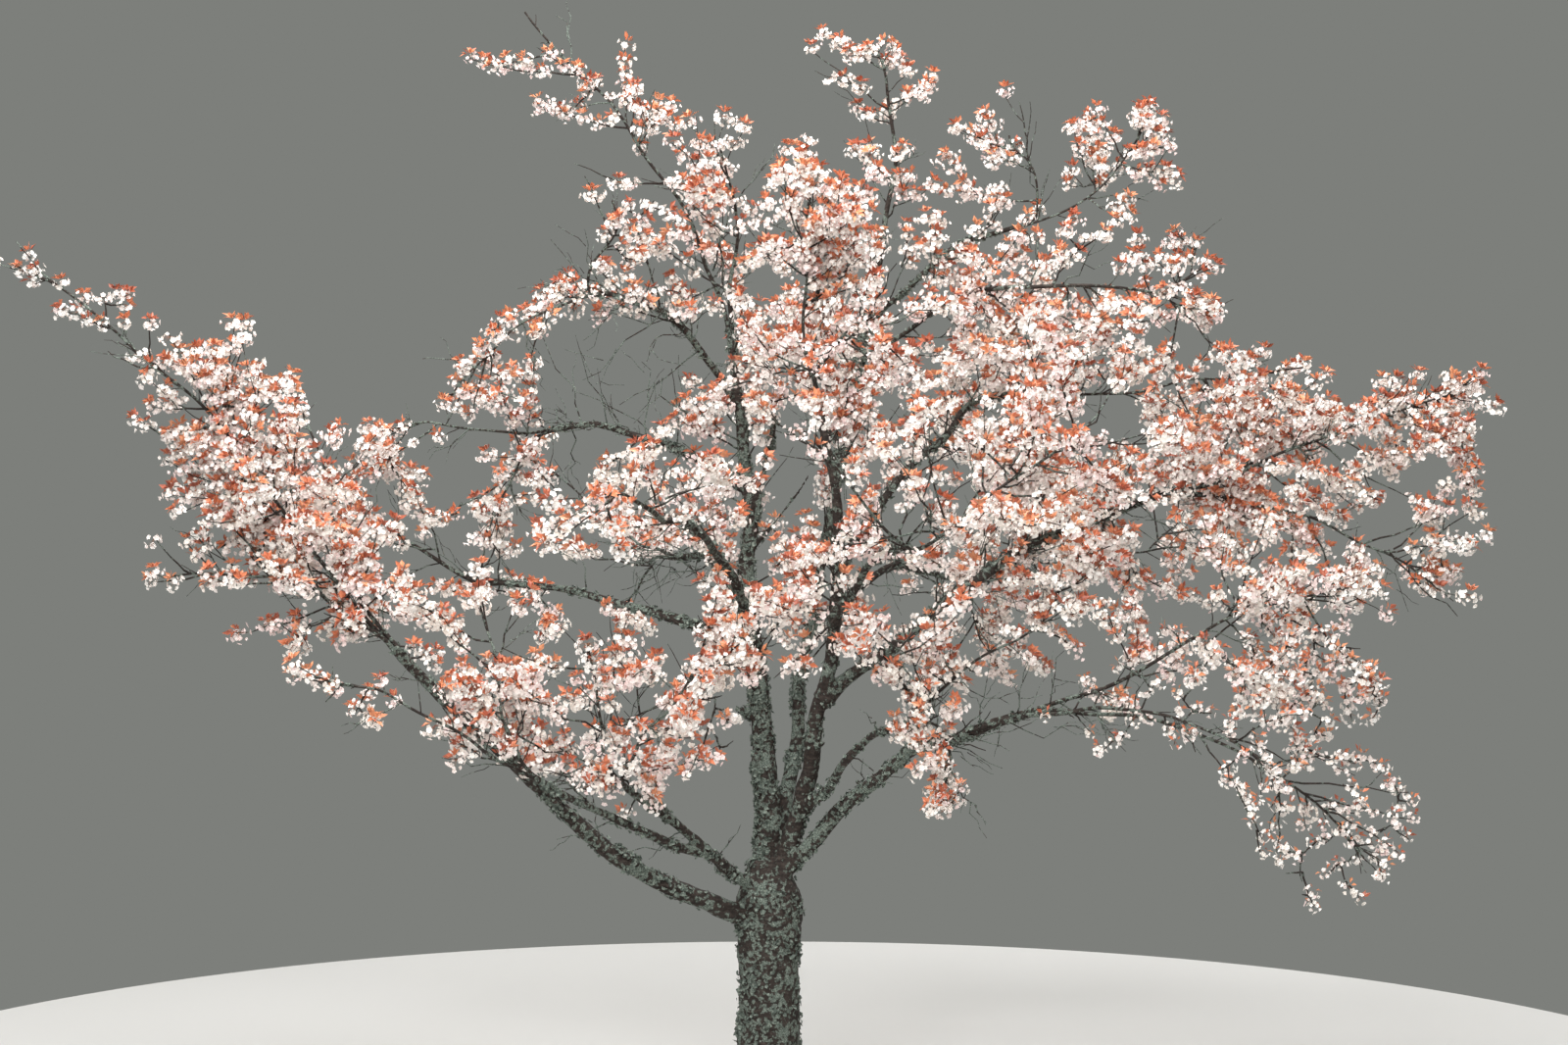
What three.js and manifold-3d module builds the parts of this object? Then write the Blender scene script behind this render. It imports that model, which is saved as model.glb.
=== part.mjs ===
// A mature cherry tree in full blossom. A short trunk with a root flare forks into three stems, long boughs
// arch out from them, and every bough ends in masses of twigs that are wrapped in blossom.
// Millimetres, +Z up. The origin is the centre of the flat cut under the trunk, at ground level.
// +X is to the right and +Y away from someone who faces the tree's best side.
import * as THREE from "three";
import { mergeVertices } from "three/addons/utils/BufferGeometryUtils.js";
import Module from "manifold-3d";

const wasm = await Module();
wasm.setup();

// Driving sizes, in millimetres and degrees. A share is a part of a whole, from 0 to 1.
const clearance = 0.3; // gap between two pieces where one is cut clear of the other
const tipGap = 0.32; // gap between a limb's tip and the stems that go on from it
const trunk = {
  height: 1500,
  lean: -12, // how far its top stands to the right of its foot
  waist: 182, // radius half way up
  crown: 120, // radius at the very top, between the stems
  shoulder: 1240, // from here up it narrows to the crown
  collar: { out: 22, height: 1200, reach: 200 }, // the swelling under the fork
  flare: 105, // how far the root flare stands out at the ground
  flareHeight: 330, // the flare fades out over about this height
  lobes: 5, // buttress roots round the foot
  lobeDepth: 0.45,
  lobeTurn: 0.7, // radians
  sides: 18,
  steps: 10,
};
const limb = {
  stemSides: 8, // on a limb that leaves the trunk
  boughSides: 6,
  step: 400, // length of one straight piece of it
  leastSteps: 4,
  slimming: 1.3, // power with which it thins from its root to its tip
};
const massStem = {
  sides: 4,
  end: 17, // radius where it ends
  leastSteps: 3,
  // Where one, two or three of them stand on a limb's tip and how thick they are, as shares of its radius.
  sideBySide: {
    1: { offset: 0, share: 0.9 },
    2: { offset: 0.51, share: 0.46 },
    3: { offset: 0.55, share: 0.42 },
  },
};
const twig = {
  spacing: 0.63, // along a mass's stem, as a share of the mass's spread
  along: [0.14, 0.98], // shares of the stem's length between which twigs leave it
  looseness: 0.5, // share of the spacing by which a twig may stand off its place
  goldenAngle: 137.5, // from one twig to the next, round the stem
  stray: 40, // most that a twig turns past that
  flatness: 0.8, // how high the ring of twigs is for its width
  sweep: 0.35, // how far a twig leans forward along the stem
  endSweep: 1.4, // the same for what is added towards the stem's end
  fullest: 0.35, // share of the stem's length at which its twigs are longest
  rootLength: 0.75, // length of the first twigs, as a share of the longest
  lengthRange: 0.3,
  radius: 10,
  thinning: 0.8, // what is left of the radius where the spray begins
  bare: 0.2, // share of a twig before its own spray begins
  fork: 58, // between a twig and the sprays round its bare part
};
const spray = {
  halfWidth: 190, // a spray of blossom is a spindle round its twig
  halfHeight: 150,
  sizeRange: 0.2,
  fullLength: 620, // a twig this long has sprays of the full width
  belly: 0.58, // where it is widest, as a share of its length
  sideSpots: [0.08, 0.13, 0.18], // where side sprays leave a twig, as shares of its length
  sideLengths: [0.84, 0.76, 0.72], // as shares of the twig's length
  sideSize: 0.94,
  tipStart: 240, // the spray on a stem's end begins this far before it
  tipLength: 400,
  tipSize: 0.8,
  sunk: 0.027, // how much of a spray may lie inside others of its mass
  room: 3, // least gap to another mass or a limb
  shortenings: [1, 0.8, 0.62], // what is left of a twig or spray at each try
};
const lowestBlossom = 1080; // nothing hangs lower than this above the ground
const steep = 0.05; // a direction whose level part is less than this counts as upright
const firstSeed = 9; // of the random numbers for the first mass, the next mass has the next seed

// Limbs. "on" and "at" say which limb this one leaves and how far along it, as a share. "tip" is where it
// ends and "girth" its diameter at the root and at the tip. "rise" and "sway" are how far its middle stands
// above the straight line and to the right of it, where it does.
const limbForms = {
  stem_left: { on: "trunk", at: 0.74, tip: [-250, 200, 4790], sway: 30, girth: [188, 56] },
  stem_back: { on: "trunk", at: 0.84, tip: [650, 800, 5060], sway: -20, girth: [112, 46] },
  stem_right: { on: "trunk", at: 0.86, tip: [300, -500, 4280], sway: 230, girth: [128, 52] },
  bough_left_low: { on: "trunk", at: 0.72, tip: [-2200, -900, 2850], rise: -230, girth: [136, 58] },
  bough_left_inner: { on: "trunk", at: 0.88, tip: [-780, -900, 1980], rise: -50, girth: [84, 50] },
  bough_left_under: { on: "bough_left_inner", at: 0.5, tip: [-1350, -1500, 2160], rise: -70, girth: [60, 42] },
  bough_left_middle: { on: "stem_left", at: 0.46, tip: [-1770, 900, 3190], rise: 90, girth: [78, 42] },
  bough_left_upper: { on: "stem_left", at: 0.73, tip: [-1410, 600, 4170], rise: 150, girth: [62, 38] },
  bough_arch: { on: "stem_left", at: 0.87, tip: [-1040, -400, 4960], rise: 200, girth: [52, 36] },
  bough_front_left: { on: "stem_left", at: 0.51, tip: [-520, -1500, 3600], rise: 150, girth: [64, 42] },
  bough_back_left: { on: "stem_left", at: 0.5, tip: [-620, 1150, 3350], rise: 150, girth: [68, 44] },
  bough_right_low: { on: "trunk", at: 0.88, tip: [1470, -600, 2420], rise: 190, girth: [104, 64] },
  bough_front_low: { on: "stem_right", at: 0.17, tip: [820, -1200, 2450], rise: 60, girth: [70, 44] },
  bough_right_main: { on: "stem_right", at: 0.41, tip: [2210, 300, 3660], rise: 130, girth: [88, 56] },
  bough_right_upper: { on: "stem_right", at: 0.68, tip: [1620, 900, 4430], rise: 240, girth: [62, 42] },
  bough_front_right: { on: "stem_right", at: 0.57, tip: [790, -1700, 3430], rise: 150, girth: [60, 44] },
  bough_top_right: { on: "stem_back", at: 0.94, tip: [1650, 1000, 5520], rise: 150, girth: [42, 32] },
  bough_upper_right: { on: "stem_back", at: 0.88, tip: [1420, 0, 5030], rise: 80, girth: [44, 30] },
  bough_back_right: { on: "stem_back", at: 0.43, tip: [1020, 1450, 3250], rise: 150, girth: [66, 44] },
  bough_back_middle: { on: "stem_back", at: 0.64, tip: [430, 1500, 4150], rise: 150, girth: [54, 40] },
};

// Masses of blossom. Each has a stem that goes on from the tip of the limb "on" and ends at "to", with its
// "rise" and "sway". "spread" is how far twigs stand out from it, "taper" the share of that left at its
// end, and "lift" how steeply they climb, below zero where they hang.
const usualMass = { taper: 0.8, lift: 0.1 };
const massForms = {
  top_left: { on: "stem_left", to: [-1500, -200, 6700], rise: 60, spread: 680, lift: 0.2 },
  top_inner: { on: "stem_left", to: [-300, -300, 5850], sway: 60, spread: 650, lift: 0.3 },
  top_middle: { on: "stem_back", to: [620, 600, 6680], sway: 260, spread: 650, lift: 0.2 },
  centre_high: { on: "stem_right", to: [230, -700, 5480], sway: -90, spread: 780, taper: 0.7, lift: 0.2 },
  centre_front: { on: "stem_right", to: [650, -1300, 4770], rise: 60, spread: 780 },
  arch: { on: "bough_arch", to: [-1900, -600, 4330], rise: 190, sway: -60, spread: 560, lift: 0 },
  arch_top: { on: "bough_arch", to: [-940, -600, 5500], sway: 60, spread: 610, taper: 0.7, lift: 0.3 },
  left_upper: { on: "bough_left_upper", to: [-2470, 900, 4170], rise: 60, spread: 560 },
  left_hang: { on: "bough_left_upper", to: [-1770, 300, 3540], rise: 100, spread: 610, lift: -0.4 },
  left_middle: { on: "bough_left_middle", to: [-2710, 1200, 3600], spread: 780 },
  left_far: { on: "bough_left_low", to: [-4370, -1200, 5070], rise: 400, spread: 720, taper: 0.4, lift: 0 },
  left_outer: { on: "bough_left_low", to: [-3530, -1000, 3260], rise: 180, spread: 780, taper: 0.7, lift: 0 },
  left_crown: { on: "bough_left_low", to: [-2910, -200, 4380], rise: 60, spread: 700, taper: 0.7, lift: 0.2 },
  left_under: { on: "bough_left_under", to: [-2480, -2000, 2740], rise: 60, spread: 750 },
  left_inner: { on: "bough_left_under", to: [-1660, -1300, 3160], rise: -60, spread: 730 },
  front_left: { on: "bough_left_inner", to: [-970, -2200, 2920], rise: -60, spread: 760 },
  front_inner: { on: "bough_left_inner", to: [-380, -2100, 2800], rise: -60, spread: 680 },
  front_high: { on: "bough_front_left", to: [-900, -2600, 3720], rise: 60, spread: 760 },
  back_left: { on: "bough_back_left", to: [-1630, 3000, 3960], rise: 60, spread: 860, lift: 0.2 },
  back_left_low: { on: "bough_back_left", to: [-1070, 3000, 2950], rise: 100, spread: 880, lift: -0.1 },
  right_low: { on: "bough_right_low", to: [3410, -900, 3200], rise: 130, spread: 740, lift: 0 },
  weeping_outer: { on: "bough_right_low", to: [3440, -1100, 1640], rise: 380, spread: 660, lift: 0 },
  weeping_inner: { on: "bough_right_low", to: [2760, -1700, 2240], rise: 180, spread: 650, lift: 0.2 },
  front_hang: { on: "bough_front_low", to: [980, -1700, 2120], rise: 130, sway: 60, spread: 390, lift: -0.4 },
  front_low: { on: "bough_front_low", to: [1580, -2000, 3110], rise: 60, spread: 810 },
  centre_low: { on: "bough_front_low", to: [330, -1900, 3380], rise: -60, sway: -60, spread: 730 },
  right_far: { on: "bough_right_main", to: [4300, 300, 4390], spread: 660, taper: 0.75, lift: -0.1 },
  right_drooping: { on: "bough_right_main", to: [4120, 100, 3200], rise: 260, spread: 740, lift: -0.1 },
  right_upper: { on: "bough_right_upper", to: [3470, 900, 4590], rise: -60, spread: 730 },
  right_high: { on: "bough_right_upper", to: [2810, 600, 5230], rise: 60, spread: 750, lift: 0.2 },
  centre_right: { on: "bough_front_right", to: [1790, -2000, 4130], rise: 60, spread: 860 },
  centre: { on: "bough_front_right", to: [250, -2500, 4000], spread: 760 },
  top_right: { on: "bough_top_right", to: [2480, 900, 6280], rise: -100, sway: 100, spread: 560, lift: 0.3 },
  top_right_inner: { on: "bough_top_right", to: [1550, 900, 6100], sway: 40, spread: 490, lift: 0.3 },
  upper_right: { on: "bough_upper_right", to: [2700, -300, 4850], rise: 80, spread: 780 },
  back_right: { on: "bough_back_right", to: [3150, 2900, 3390], rise: 120, spread: 940 },
  back_right_low: { on: "bough_back_right", to: [1520, 3000, 2810], rise: 100, spread: 880, lift: -0.1 },
  back_high: { on: "bough_back_middle", to: [370, 3000, 5040], rise: 60, spread: 860, lift: 0.2 },
  back_middle: { on: "bough_back_middle", to: [1460, 3200, 4330], rise: 60, spread: 910 },
};

const barkDark = new THREE.MeshStandardMaterial({ color: 0x4a3d38, roughness: 0.95 });
const barkLichen = new THREE.MeshStandardMaterial({ color: 0x66655a, roughness: 0.95 });
const blossomPink = new THREE.MeshStandardMaterial({ color: 0xf3dedb, roughness: 0.8 });

const up = new THREE.Vector3(0, 0, 1);
const radians = THREE.MathUtils.degToRad;
const { lerp, smoothstep } = THREE.MathUtils;

// A number from 0 to 1 at each call, the same row of numbers for the same seed.
function seededRandom(seed) {
  let state = seed;
  return () => {
    state = (state * 1664525 + 1013904223) % 4294967296;
    return state / 4294967296;
  };
}

// A level direction at right angles to a heading.
function levelAcross(heading) {
  if (Math.hypot(heading.x, heading.y) < steep) return new THREE.Vector3(1, 0, 0);
  return new THREE.Vector3().crossVectors(heading, up).normalize();
}

// How far the middle of a limb or a mass's stem stands off the straight line.
function bowOf({ sway = 0, rise = 0 }) {
  return new THREE.Vector3(sway, 0, rise);
}

// A smooth line from start to end whose middle stands off the straight line by bow.
function bowedLine(start, end, bow) {
  const middle = start.clone().lerp(end, 0.5).addScaledVector(bow, 2);
  return new THREE.QuadraticBezierCurve3(start, middle, end);
}

// The same, but it leaves start along heading, as a stem goes on from a limb.
function leadingLine(start, heading, end, bow) {
  const length = start.distanceTo(end);
  const first = start.clone().addScaledVector(heading, length / 3);
  const second = start.clone().lerp(end, 2 / 3).addScaledVector(bow, 4 / 3);
  return new THREE.CubicBezierCurve3(start, first, second, end);
}

// How many straight pieces a limb or a mass's stem is made of.
function stepsOf(line, leastSteps) {
  return Math.max(leastSteps, Math.round(line.getLength() / limb.step));
}

// A geometry as a solid for joining and cutting.
function solidOf(geometry) {
  geometry.deleteAttribute("normal");
  geometry.deleteAttribute("uv");
  const merged = mergeVertices(geometry, 1e-3);
  return new wasm.Manifold(
    new wasm.Mesh({
      numProp: 3,
      vertProperties: merged.attributes.position.array,
      triVerts: new Uint32Array(merged.index.array),
    }),
  );
}

// A solid as a geometry for a mesh.
function geometryOf(solid) {
  const mesh = solid.getMesh();
  const geometry = new THREE.BufferGeometry();
  geometry.setAttribute("position", new THREE.BufferAttribute(mesh.vertProperties, 3));
  geometry.setIndex(new THREE.BufferAttribute(mesh.triVerts, 1));
  geometry.computeVertexNormals();
  return geometry;
}

// The largest of the separate pieces of a solid.
function largestPiece(solid) {
  return solid.decompose().reduce((best, piece) => (piece.volume() > best.volume() ? piece : best));
}

// A limb or a mass's stem as a closed tube, with room added all round it and at its ends. radiusAt gives its
// radius from a share of its length and an angle round it.
function woodSolid({ line, radiusAt, sides, steps }, room = 0) {
  const geometry = new THREE.CylinderGeometry(1, 1, 1, sides, steps);
  const frames = line.computeFrenetFrames(steps, false);
  const centres = line.getSpacedPoints(steps);
  centres[0].addScaledVector(frames.tangents[0], -room);
  centres[steps].addScaledVector(frames.tangents[steps], room);
  const positions = geometry.attributes.position;
  const point = new THREE.Vector3();
  for (let i = 0; i < positions.count; i++) {
    point.fromBufferAttribute(positions, i);
    const ring = Math.round((point.y + 0.5) * steps);
    const reach = Math.hypot(point.x, point.z);
    const radius = reach * (radiusAt(ring / steps, Math.atan2(point.z, point.x)) + room);
    const across = reach > 0 ? point.x / reach : 0;
    const along = reach > 0 ? point.z / reach : 0;
    const place = centres[ring]
      .clone()
      .addScaledVector(frames.normals[ring], radius * across)
      .addScaledVector(frames.binormals[ring], -radius * along);
    positions.setXYZ(i, place.x, place.y, place.z);
  }
  return solidOf(geometry);
}

// The trunk's radius, with its root flare in lobes and a swelling under the fork.
function trunkRadius(share, angle) {
  const height = share * trunk.height;
  const flare = trunk.flare * Math.exp(-2 * (height / trunk.flareHeight) ** 1.4);
  const fade = Math.exp(-height / trunk.flareHeight);
  const lobes = 1 + trunk.lobeDepth * Math.cos(trunk.lobes * angle + trunk.lobeTurn) * fade;
  const { collar } = trunk;
  const swelling = collar.out * Math.exp(-(((height - collar.height) / collar.reach) ** 2));
  const narrowing = smoothstep(height, trunk.shoulder, trunk.height) * (trunk.waist - trunk.crown);
  return trunk.waist + flare * lobes + swelling - narrowing;
}

function makeTrunk() {
  const top = new THREE.Vector3(trunk.lean, 0, trunk.height);
  const line = leadingLine(new THREE.Vector3(0, 0, 0), up, top, bowOf({}));
  return { line, radiusAt: trunkRadius, sides: trunk.sides, steps: trunk.steps };
}

function makeLimb(form, parent) {
  const line = bowedLine(parent.line.getPointAt(form.at), new THREE.Vector3(...form.tip), bowOf(form));
  const [root, tip] = form.girth.map((diameter) => diameter / 2);
  return {
    line,
    radiusAt: (share) => tip + (root - tip) * (1 - share) ** limb.slimming,
    tipRadius: tip,
    sides: form.on === "trunk" ? limb.stemSides : limb.boughSides,
    steps: stepsOf(line, limb.leastSteps),
  };
}

// The stems of the masses on one limb's tip. Two or three stand side by side on it, in the order in which
// they turn off round the limb's heading.
function makeStems(carrier, names) {
  const heading = carrier.line.getTangentAt(1);
  const centre = carrier.line.getPointAt(1).addScaledVector(heading, tipGap);
  const side = levelAcross(heading);
  const over = new THREE.Vector3().crossVectors(side, heading);
  const turned = names.map((name) => {
    const aim = new THREE.Vector3(...massForms[name].to).sub(centre);
    return { name, angle: Math.atan2(aim.dot(over), aim.dot(side)) };
  });
  turned.sort((a, b) => a.angle - b.angle);
  const slot = (2 * Math.PI) / names.length;
  const sumOf = (f) => turned.reduce((sum, { angle }, k) => sum + f(angle - slot * k), 0);
  const first = Math.atan2(sumOf(Math.sin), sumOf(Math.cos));
  const { offset, share } = massStem.sideBySide[names.length];
  const root = carrier.tipRadius * share;
  const made = turned.map(({ name }, k) => {
    const angle = first + slot * k;
    const start = centre
      .clone()
      .addScaledVector(side, Math.cos(angle) * offset * carrier.tipRadius)
      .addScaledVector(over, Math.sin(angle) * offset * carrier.tipRadius);
    const form = massForms[name];
    const line = leadingLine(start, heading, new THREE.Vector3(...form.to), bowOf(form));
    const radiusAt = (along) => lerp(root, massStem.end, along);
    return [name, { line, radiusAt, sides: massStem.sides, steps: stepsOf(line, massStem.leastSteps) }];
  });
  return Object.fromEntries(made);
}

// A placed piece of the tree: whose it is, its solid and the box round it.
function placed(owner, solid) {
  return { owner, solid, box: solid.boundingBox() };
}

function boxesMeet(a, b) {
  return [0, 1, 2].every((k) => a.min[k] < b.max[k] && b.min[k] < a.max[k]);
}

// Whether a solid is clear of all other owners' pieces, and not sunk too deep in those of its own mass.
function fits(owner, solid) {
  const box = solid.boundingBox();
  let sunk = 0;
  for (const piece of pieces.filter((other) => boxesMeet(box, other.box))) {
    const shared = solid.intersect(piece.solid);
    const volume = shared.volume();
    shared.delete();
    if (piece.owner !== owner && volume > 0) return false;
    sunk += volume;
  }
  return sunk < spray.sunk * solid.volume();
}

// A spindle from one point to another. Its profile lists its half width and height at shares of its length.
function spindle(from, to, sides, profile) {
  const along = to.clone().sub(from);
  const forward = along.clone().normalize();
  const side = levelAcross(forward);
  const over = new THREE.Vector3().crossVectors(side, forward);
  const steps = profile.length - 1;
  const geometry = new THREE.CylinderGeometry(1, 1, 1, sides, steps);
  const positions = geometry.attributes.position;
  for (let i = 0; i < positions.count; i++) {
    const [share, width, height] = profile[Math.round((positions.getY(i) + 0.5) * steps)];
    const place = from
      .clone()
      .addScaledVector(along, share)
      .addScaledVector(side, positions.getX(i) * width)
      .addScaledVector(over, positions.getZ(i) * height);
    positions.setXYZ(i, place.x, place.y, place.z);
  }
  return solidOf(geometry);
}

// A spray of blossom: eight faces, widest past its middle. Room is added all round it.
function spraySolid(from, to, size, room = 0) {
  return spindle(from, to, 4, [
    [0, room, room],
    [spray.belly, spray.halfWidth * size + room, spray.halfHeight * size + room],
    [1, room, room],
  ]);
}

// A three-sided twig that swells into the spray over its outer part. Its root is sunk in the stem.
function twigSolid(from, to, size, room = 0) {
  const root = twig.radius + room;
  const neck = twig.radius * twig.thinning + room;
  return spindle(from, to, 3, [
    [0, root, root],
    [twig.bare, neck, neck],
    [lerp(twig.bare, 1, spray.belly), spray.halfWidth * size + room, spray.halfHeight * size + room],
    [1, room, room],
  ]);
}

// The twigs of one mass. They leave the stem at a golden angle, sweep forward along it and climb or hang by
// the mass's lift. Each has a spray over its outer part and three more round its bare part.
function growTwigs(form, stem, random) {
  const vary = (range) => 1 + range * (random() - 0.5);
  const count = Math.max(3, Math.round(stem.line.getLength() / (form.spread * twig.spacing)));
  const twigs = [];
  for (let i = 0; i < count; i++) {
    const share = lerp(...twig.along, (i + twig.looseness * random()) / count);
    const root = stem.line.getPointAt(share);
    const heading = stem.line.getTangentAt(share);
    const side = levelAcross(heading);
    const over = new THREE.Vector3().crossVectors(side, heading);
    const turn = radians(twig.goldenAngle * i + twig.stray * random());
    const direction = side
      .clone()
      .multiplyScalar(Math.cos(turn))
      .addScaledVector(over, twig.flatness * Math.sin(turn))
      .addScaledVector(heading, twig.sweep + twig.endSweep * share ** 3)
      .addScaledVector(up, form.lift)
      .normalize();
    const swell =
      share < twig.fullest
        ? lerp(twig.rootLength, 1, share / twig.fullest)
        : lerp(1, form.taper, (share - twig.fullest) / (1 - twig.fullest));
    const length = form.spread * swell * vary(twig.lengthRange);
    const size = vary(spray.sizeRange) * Math.min(1, length / spray.fullLength);
    const across = levelAcross(direction);
    const fan = 360 * random();
    const sides = spray.sideSpots.map((spot, j) => ({
      spot,
      length: length * spray.sideLengths[j],
      direction: direction
        .clone()
        .applyAxisAngle(across, radians(twig.fork))
        .applyAxisAngle(direction, radians(fan + (360 / spray.sideSpots.length) * j)),
    }));
    twigs.push({ root, direction, length, size, sides });
  }
  return twigs;
}

// One mass: its stem, and each twig and spray that stays in the mass's own space. One that doesn't is tried
// shorter, and then left out.
function massSolid(name, twigs, stem, stemSolid) {
  const parts = [stemSolid];
  const grow = (makeSolid, root, direction, length, size) => {
    for (const share of spray.shortenings) {
      const tip = root.clone().addScaledVector(direction, length * share);
      if (tip.z < lowestBlossom || !fits(name, makeSolid(root, tip, size * share, spray.room))) continue;
      const solid = makeSolid(root, tip, size * share);
      pieces.push(placed(name, solid));
      parts.push(solid);
      return tip;
    }
    return null;
  };
  const tipShare = 1 - spray.tipStart / stem.line.getLength();
  const heading = stem.line.getTangentAt(1);
  grow(spraySolid, stem.line.getPointAt(tipShare), heading, spray.tipLength, spray.tipSize);
  for (const { root, direction, length, size, sides } of twigs) {
    const tip = grow(twigSolid, root, direction, length, size);
    if (!tip) continue;
    for (const side of sides) {
      const fork = root.clone().lerp(tip, side.spot);
      grow(spraySolid, fork, side.direction, side.length, size * spray.sideSize);
    }
  }
  return largestPiece(wasm.Manifold.union(parts));
}

function asMesh(name, solid, material) {
  const mesh = new THREE.Mesh(geometryOf(solid), material);
  mesh.name = name;
  return mesh;
}

const tree = new THREE.Group();
tree.name = "cherry_tree";

// Every piece placed so far, in the order of growth. Limbs come first and then the masses' stems, each cut
// clear of the ones before it. Twigs grow last of all, so that none crosses a limb or a stem.
const pieces = [];
function placeWood(name, form) {
  const cut = pieces.reduce((solid, earlier) => solid.subtract(earlier.solid), woodSolid(form));
  pieces.push(placed(name, woodSolid(form, clearance)));
  return largestPiece(cut);
}

const grown = { trunk: makeTrunk() };
tree.add(asMesh("trunk", placeWood("trunk", grown.trunk), barkLichen));
for (const [name, form] of Object.entries(limbForms)) {
  grown[name] = makeLimb(form, grown[form.on]);
  tree.add(asMesh(name, placeWood(name, grown[name]), name.startsWith("stem") ? barkLichen : barkDark));
}

const stems = {};
for (const limbName of Object.keys(limbForms)) {
  const names = Object.keys(massForms).filter((name) => massForms[name].on === limbName);
  if (names.length) Object.assign(stems, makeStems(grown[limbName], names));
}
const stemSolids = {};
for (const [name, stem] of Object.entries(stems)) stemSolids[name] = placeWood(name, stem);
for (const [name, stem] of Object.entries(stems)) {
  const random = seededRandom(firstSeed + Object.keys(massForms).indexOf(name));
  const twigs = growTwigs({ ...usualMass, ...massForms[name] }, stem, random);
  tree.add(asMesh(`blossom_${name}`, massSolid(name, twigs, stem, stemSolids[name]), blossomPink));
}

export default tree;
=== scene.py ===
import math

import bpy
import numpy as np
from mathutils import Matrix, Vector, kdtree, noise


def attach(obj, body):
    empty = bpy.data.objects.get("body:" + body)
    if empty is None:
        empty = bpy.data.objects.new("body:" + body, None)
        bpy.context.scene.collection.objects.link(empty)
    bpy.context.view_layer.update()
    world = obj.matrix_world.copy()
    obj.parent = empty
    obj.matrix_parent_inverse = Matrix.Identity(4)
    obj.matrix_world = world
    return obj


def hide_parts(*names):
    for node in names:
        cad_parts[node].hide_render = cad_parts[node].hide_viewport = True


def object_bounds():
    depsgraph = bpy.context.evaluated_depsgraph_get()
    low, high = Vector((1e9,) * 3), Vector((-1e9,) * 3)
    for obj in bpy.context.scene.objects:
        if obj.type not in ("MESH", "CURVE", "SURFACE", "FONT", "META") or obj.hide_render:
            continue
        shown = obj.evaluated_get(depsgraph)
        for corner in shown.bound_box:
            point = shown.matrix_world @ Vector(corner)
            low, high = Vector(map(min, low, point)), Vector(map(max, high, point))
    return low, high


# Cherry tree in blossom: bark over the trunk and boughs, twigs grown on from them by the same rule
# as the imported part, then flowers and young leaves dealt out along every twig. All in metres.
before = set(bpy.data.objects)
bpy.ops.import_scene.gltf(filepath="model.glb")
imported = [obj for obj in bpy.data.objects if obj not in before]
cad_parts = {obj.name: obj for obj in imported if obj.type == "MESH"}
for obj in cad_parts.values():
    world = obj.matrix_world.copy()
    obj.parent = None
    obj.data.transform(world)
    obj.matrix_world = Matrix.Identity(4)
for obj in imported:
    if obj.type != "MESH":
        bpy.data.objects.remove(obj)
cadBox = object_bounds()
print("frame loaded,", len(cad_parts), "nodes")

up = np.array([0.0, 0.0, 1.0])

# camera: level, straight at the tree's best side
cameraForm = {"place": (0.085, -17.0, 3.58), "lens": 63.1, "sensor": 36.0}

# trunk: its girth from waist to fork, the swelling under the fork and the lobes of its flare
trunkForm = {
    "height": 1.5,
    "lean": -0.012,
    "waist": 0.182,
    "crown": 0.120,
    "shoulder": 1.24,
    "collarOut": 0.022,
    "collarHeight": 1.2,
    "collarReach": 0.2,
    "flare": 0.105,
    "flareHeight": 0.33,
    "lobes": 5,
    "lobeDepth": 0.45,
    "lobeTurn": 0.7,
    "sides": 56,
    "step": 0.025,
}

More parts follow.
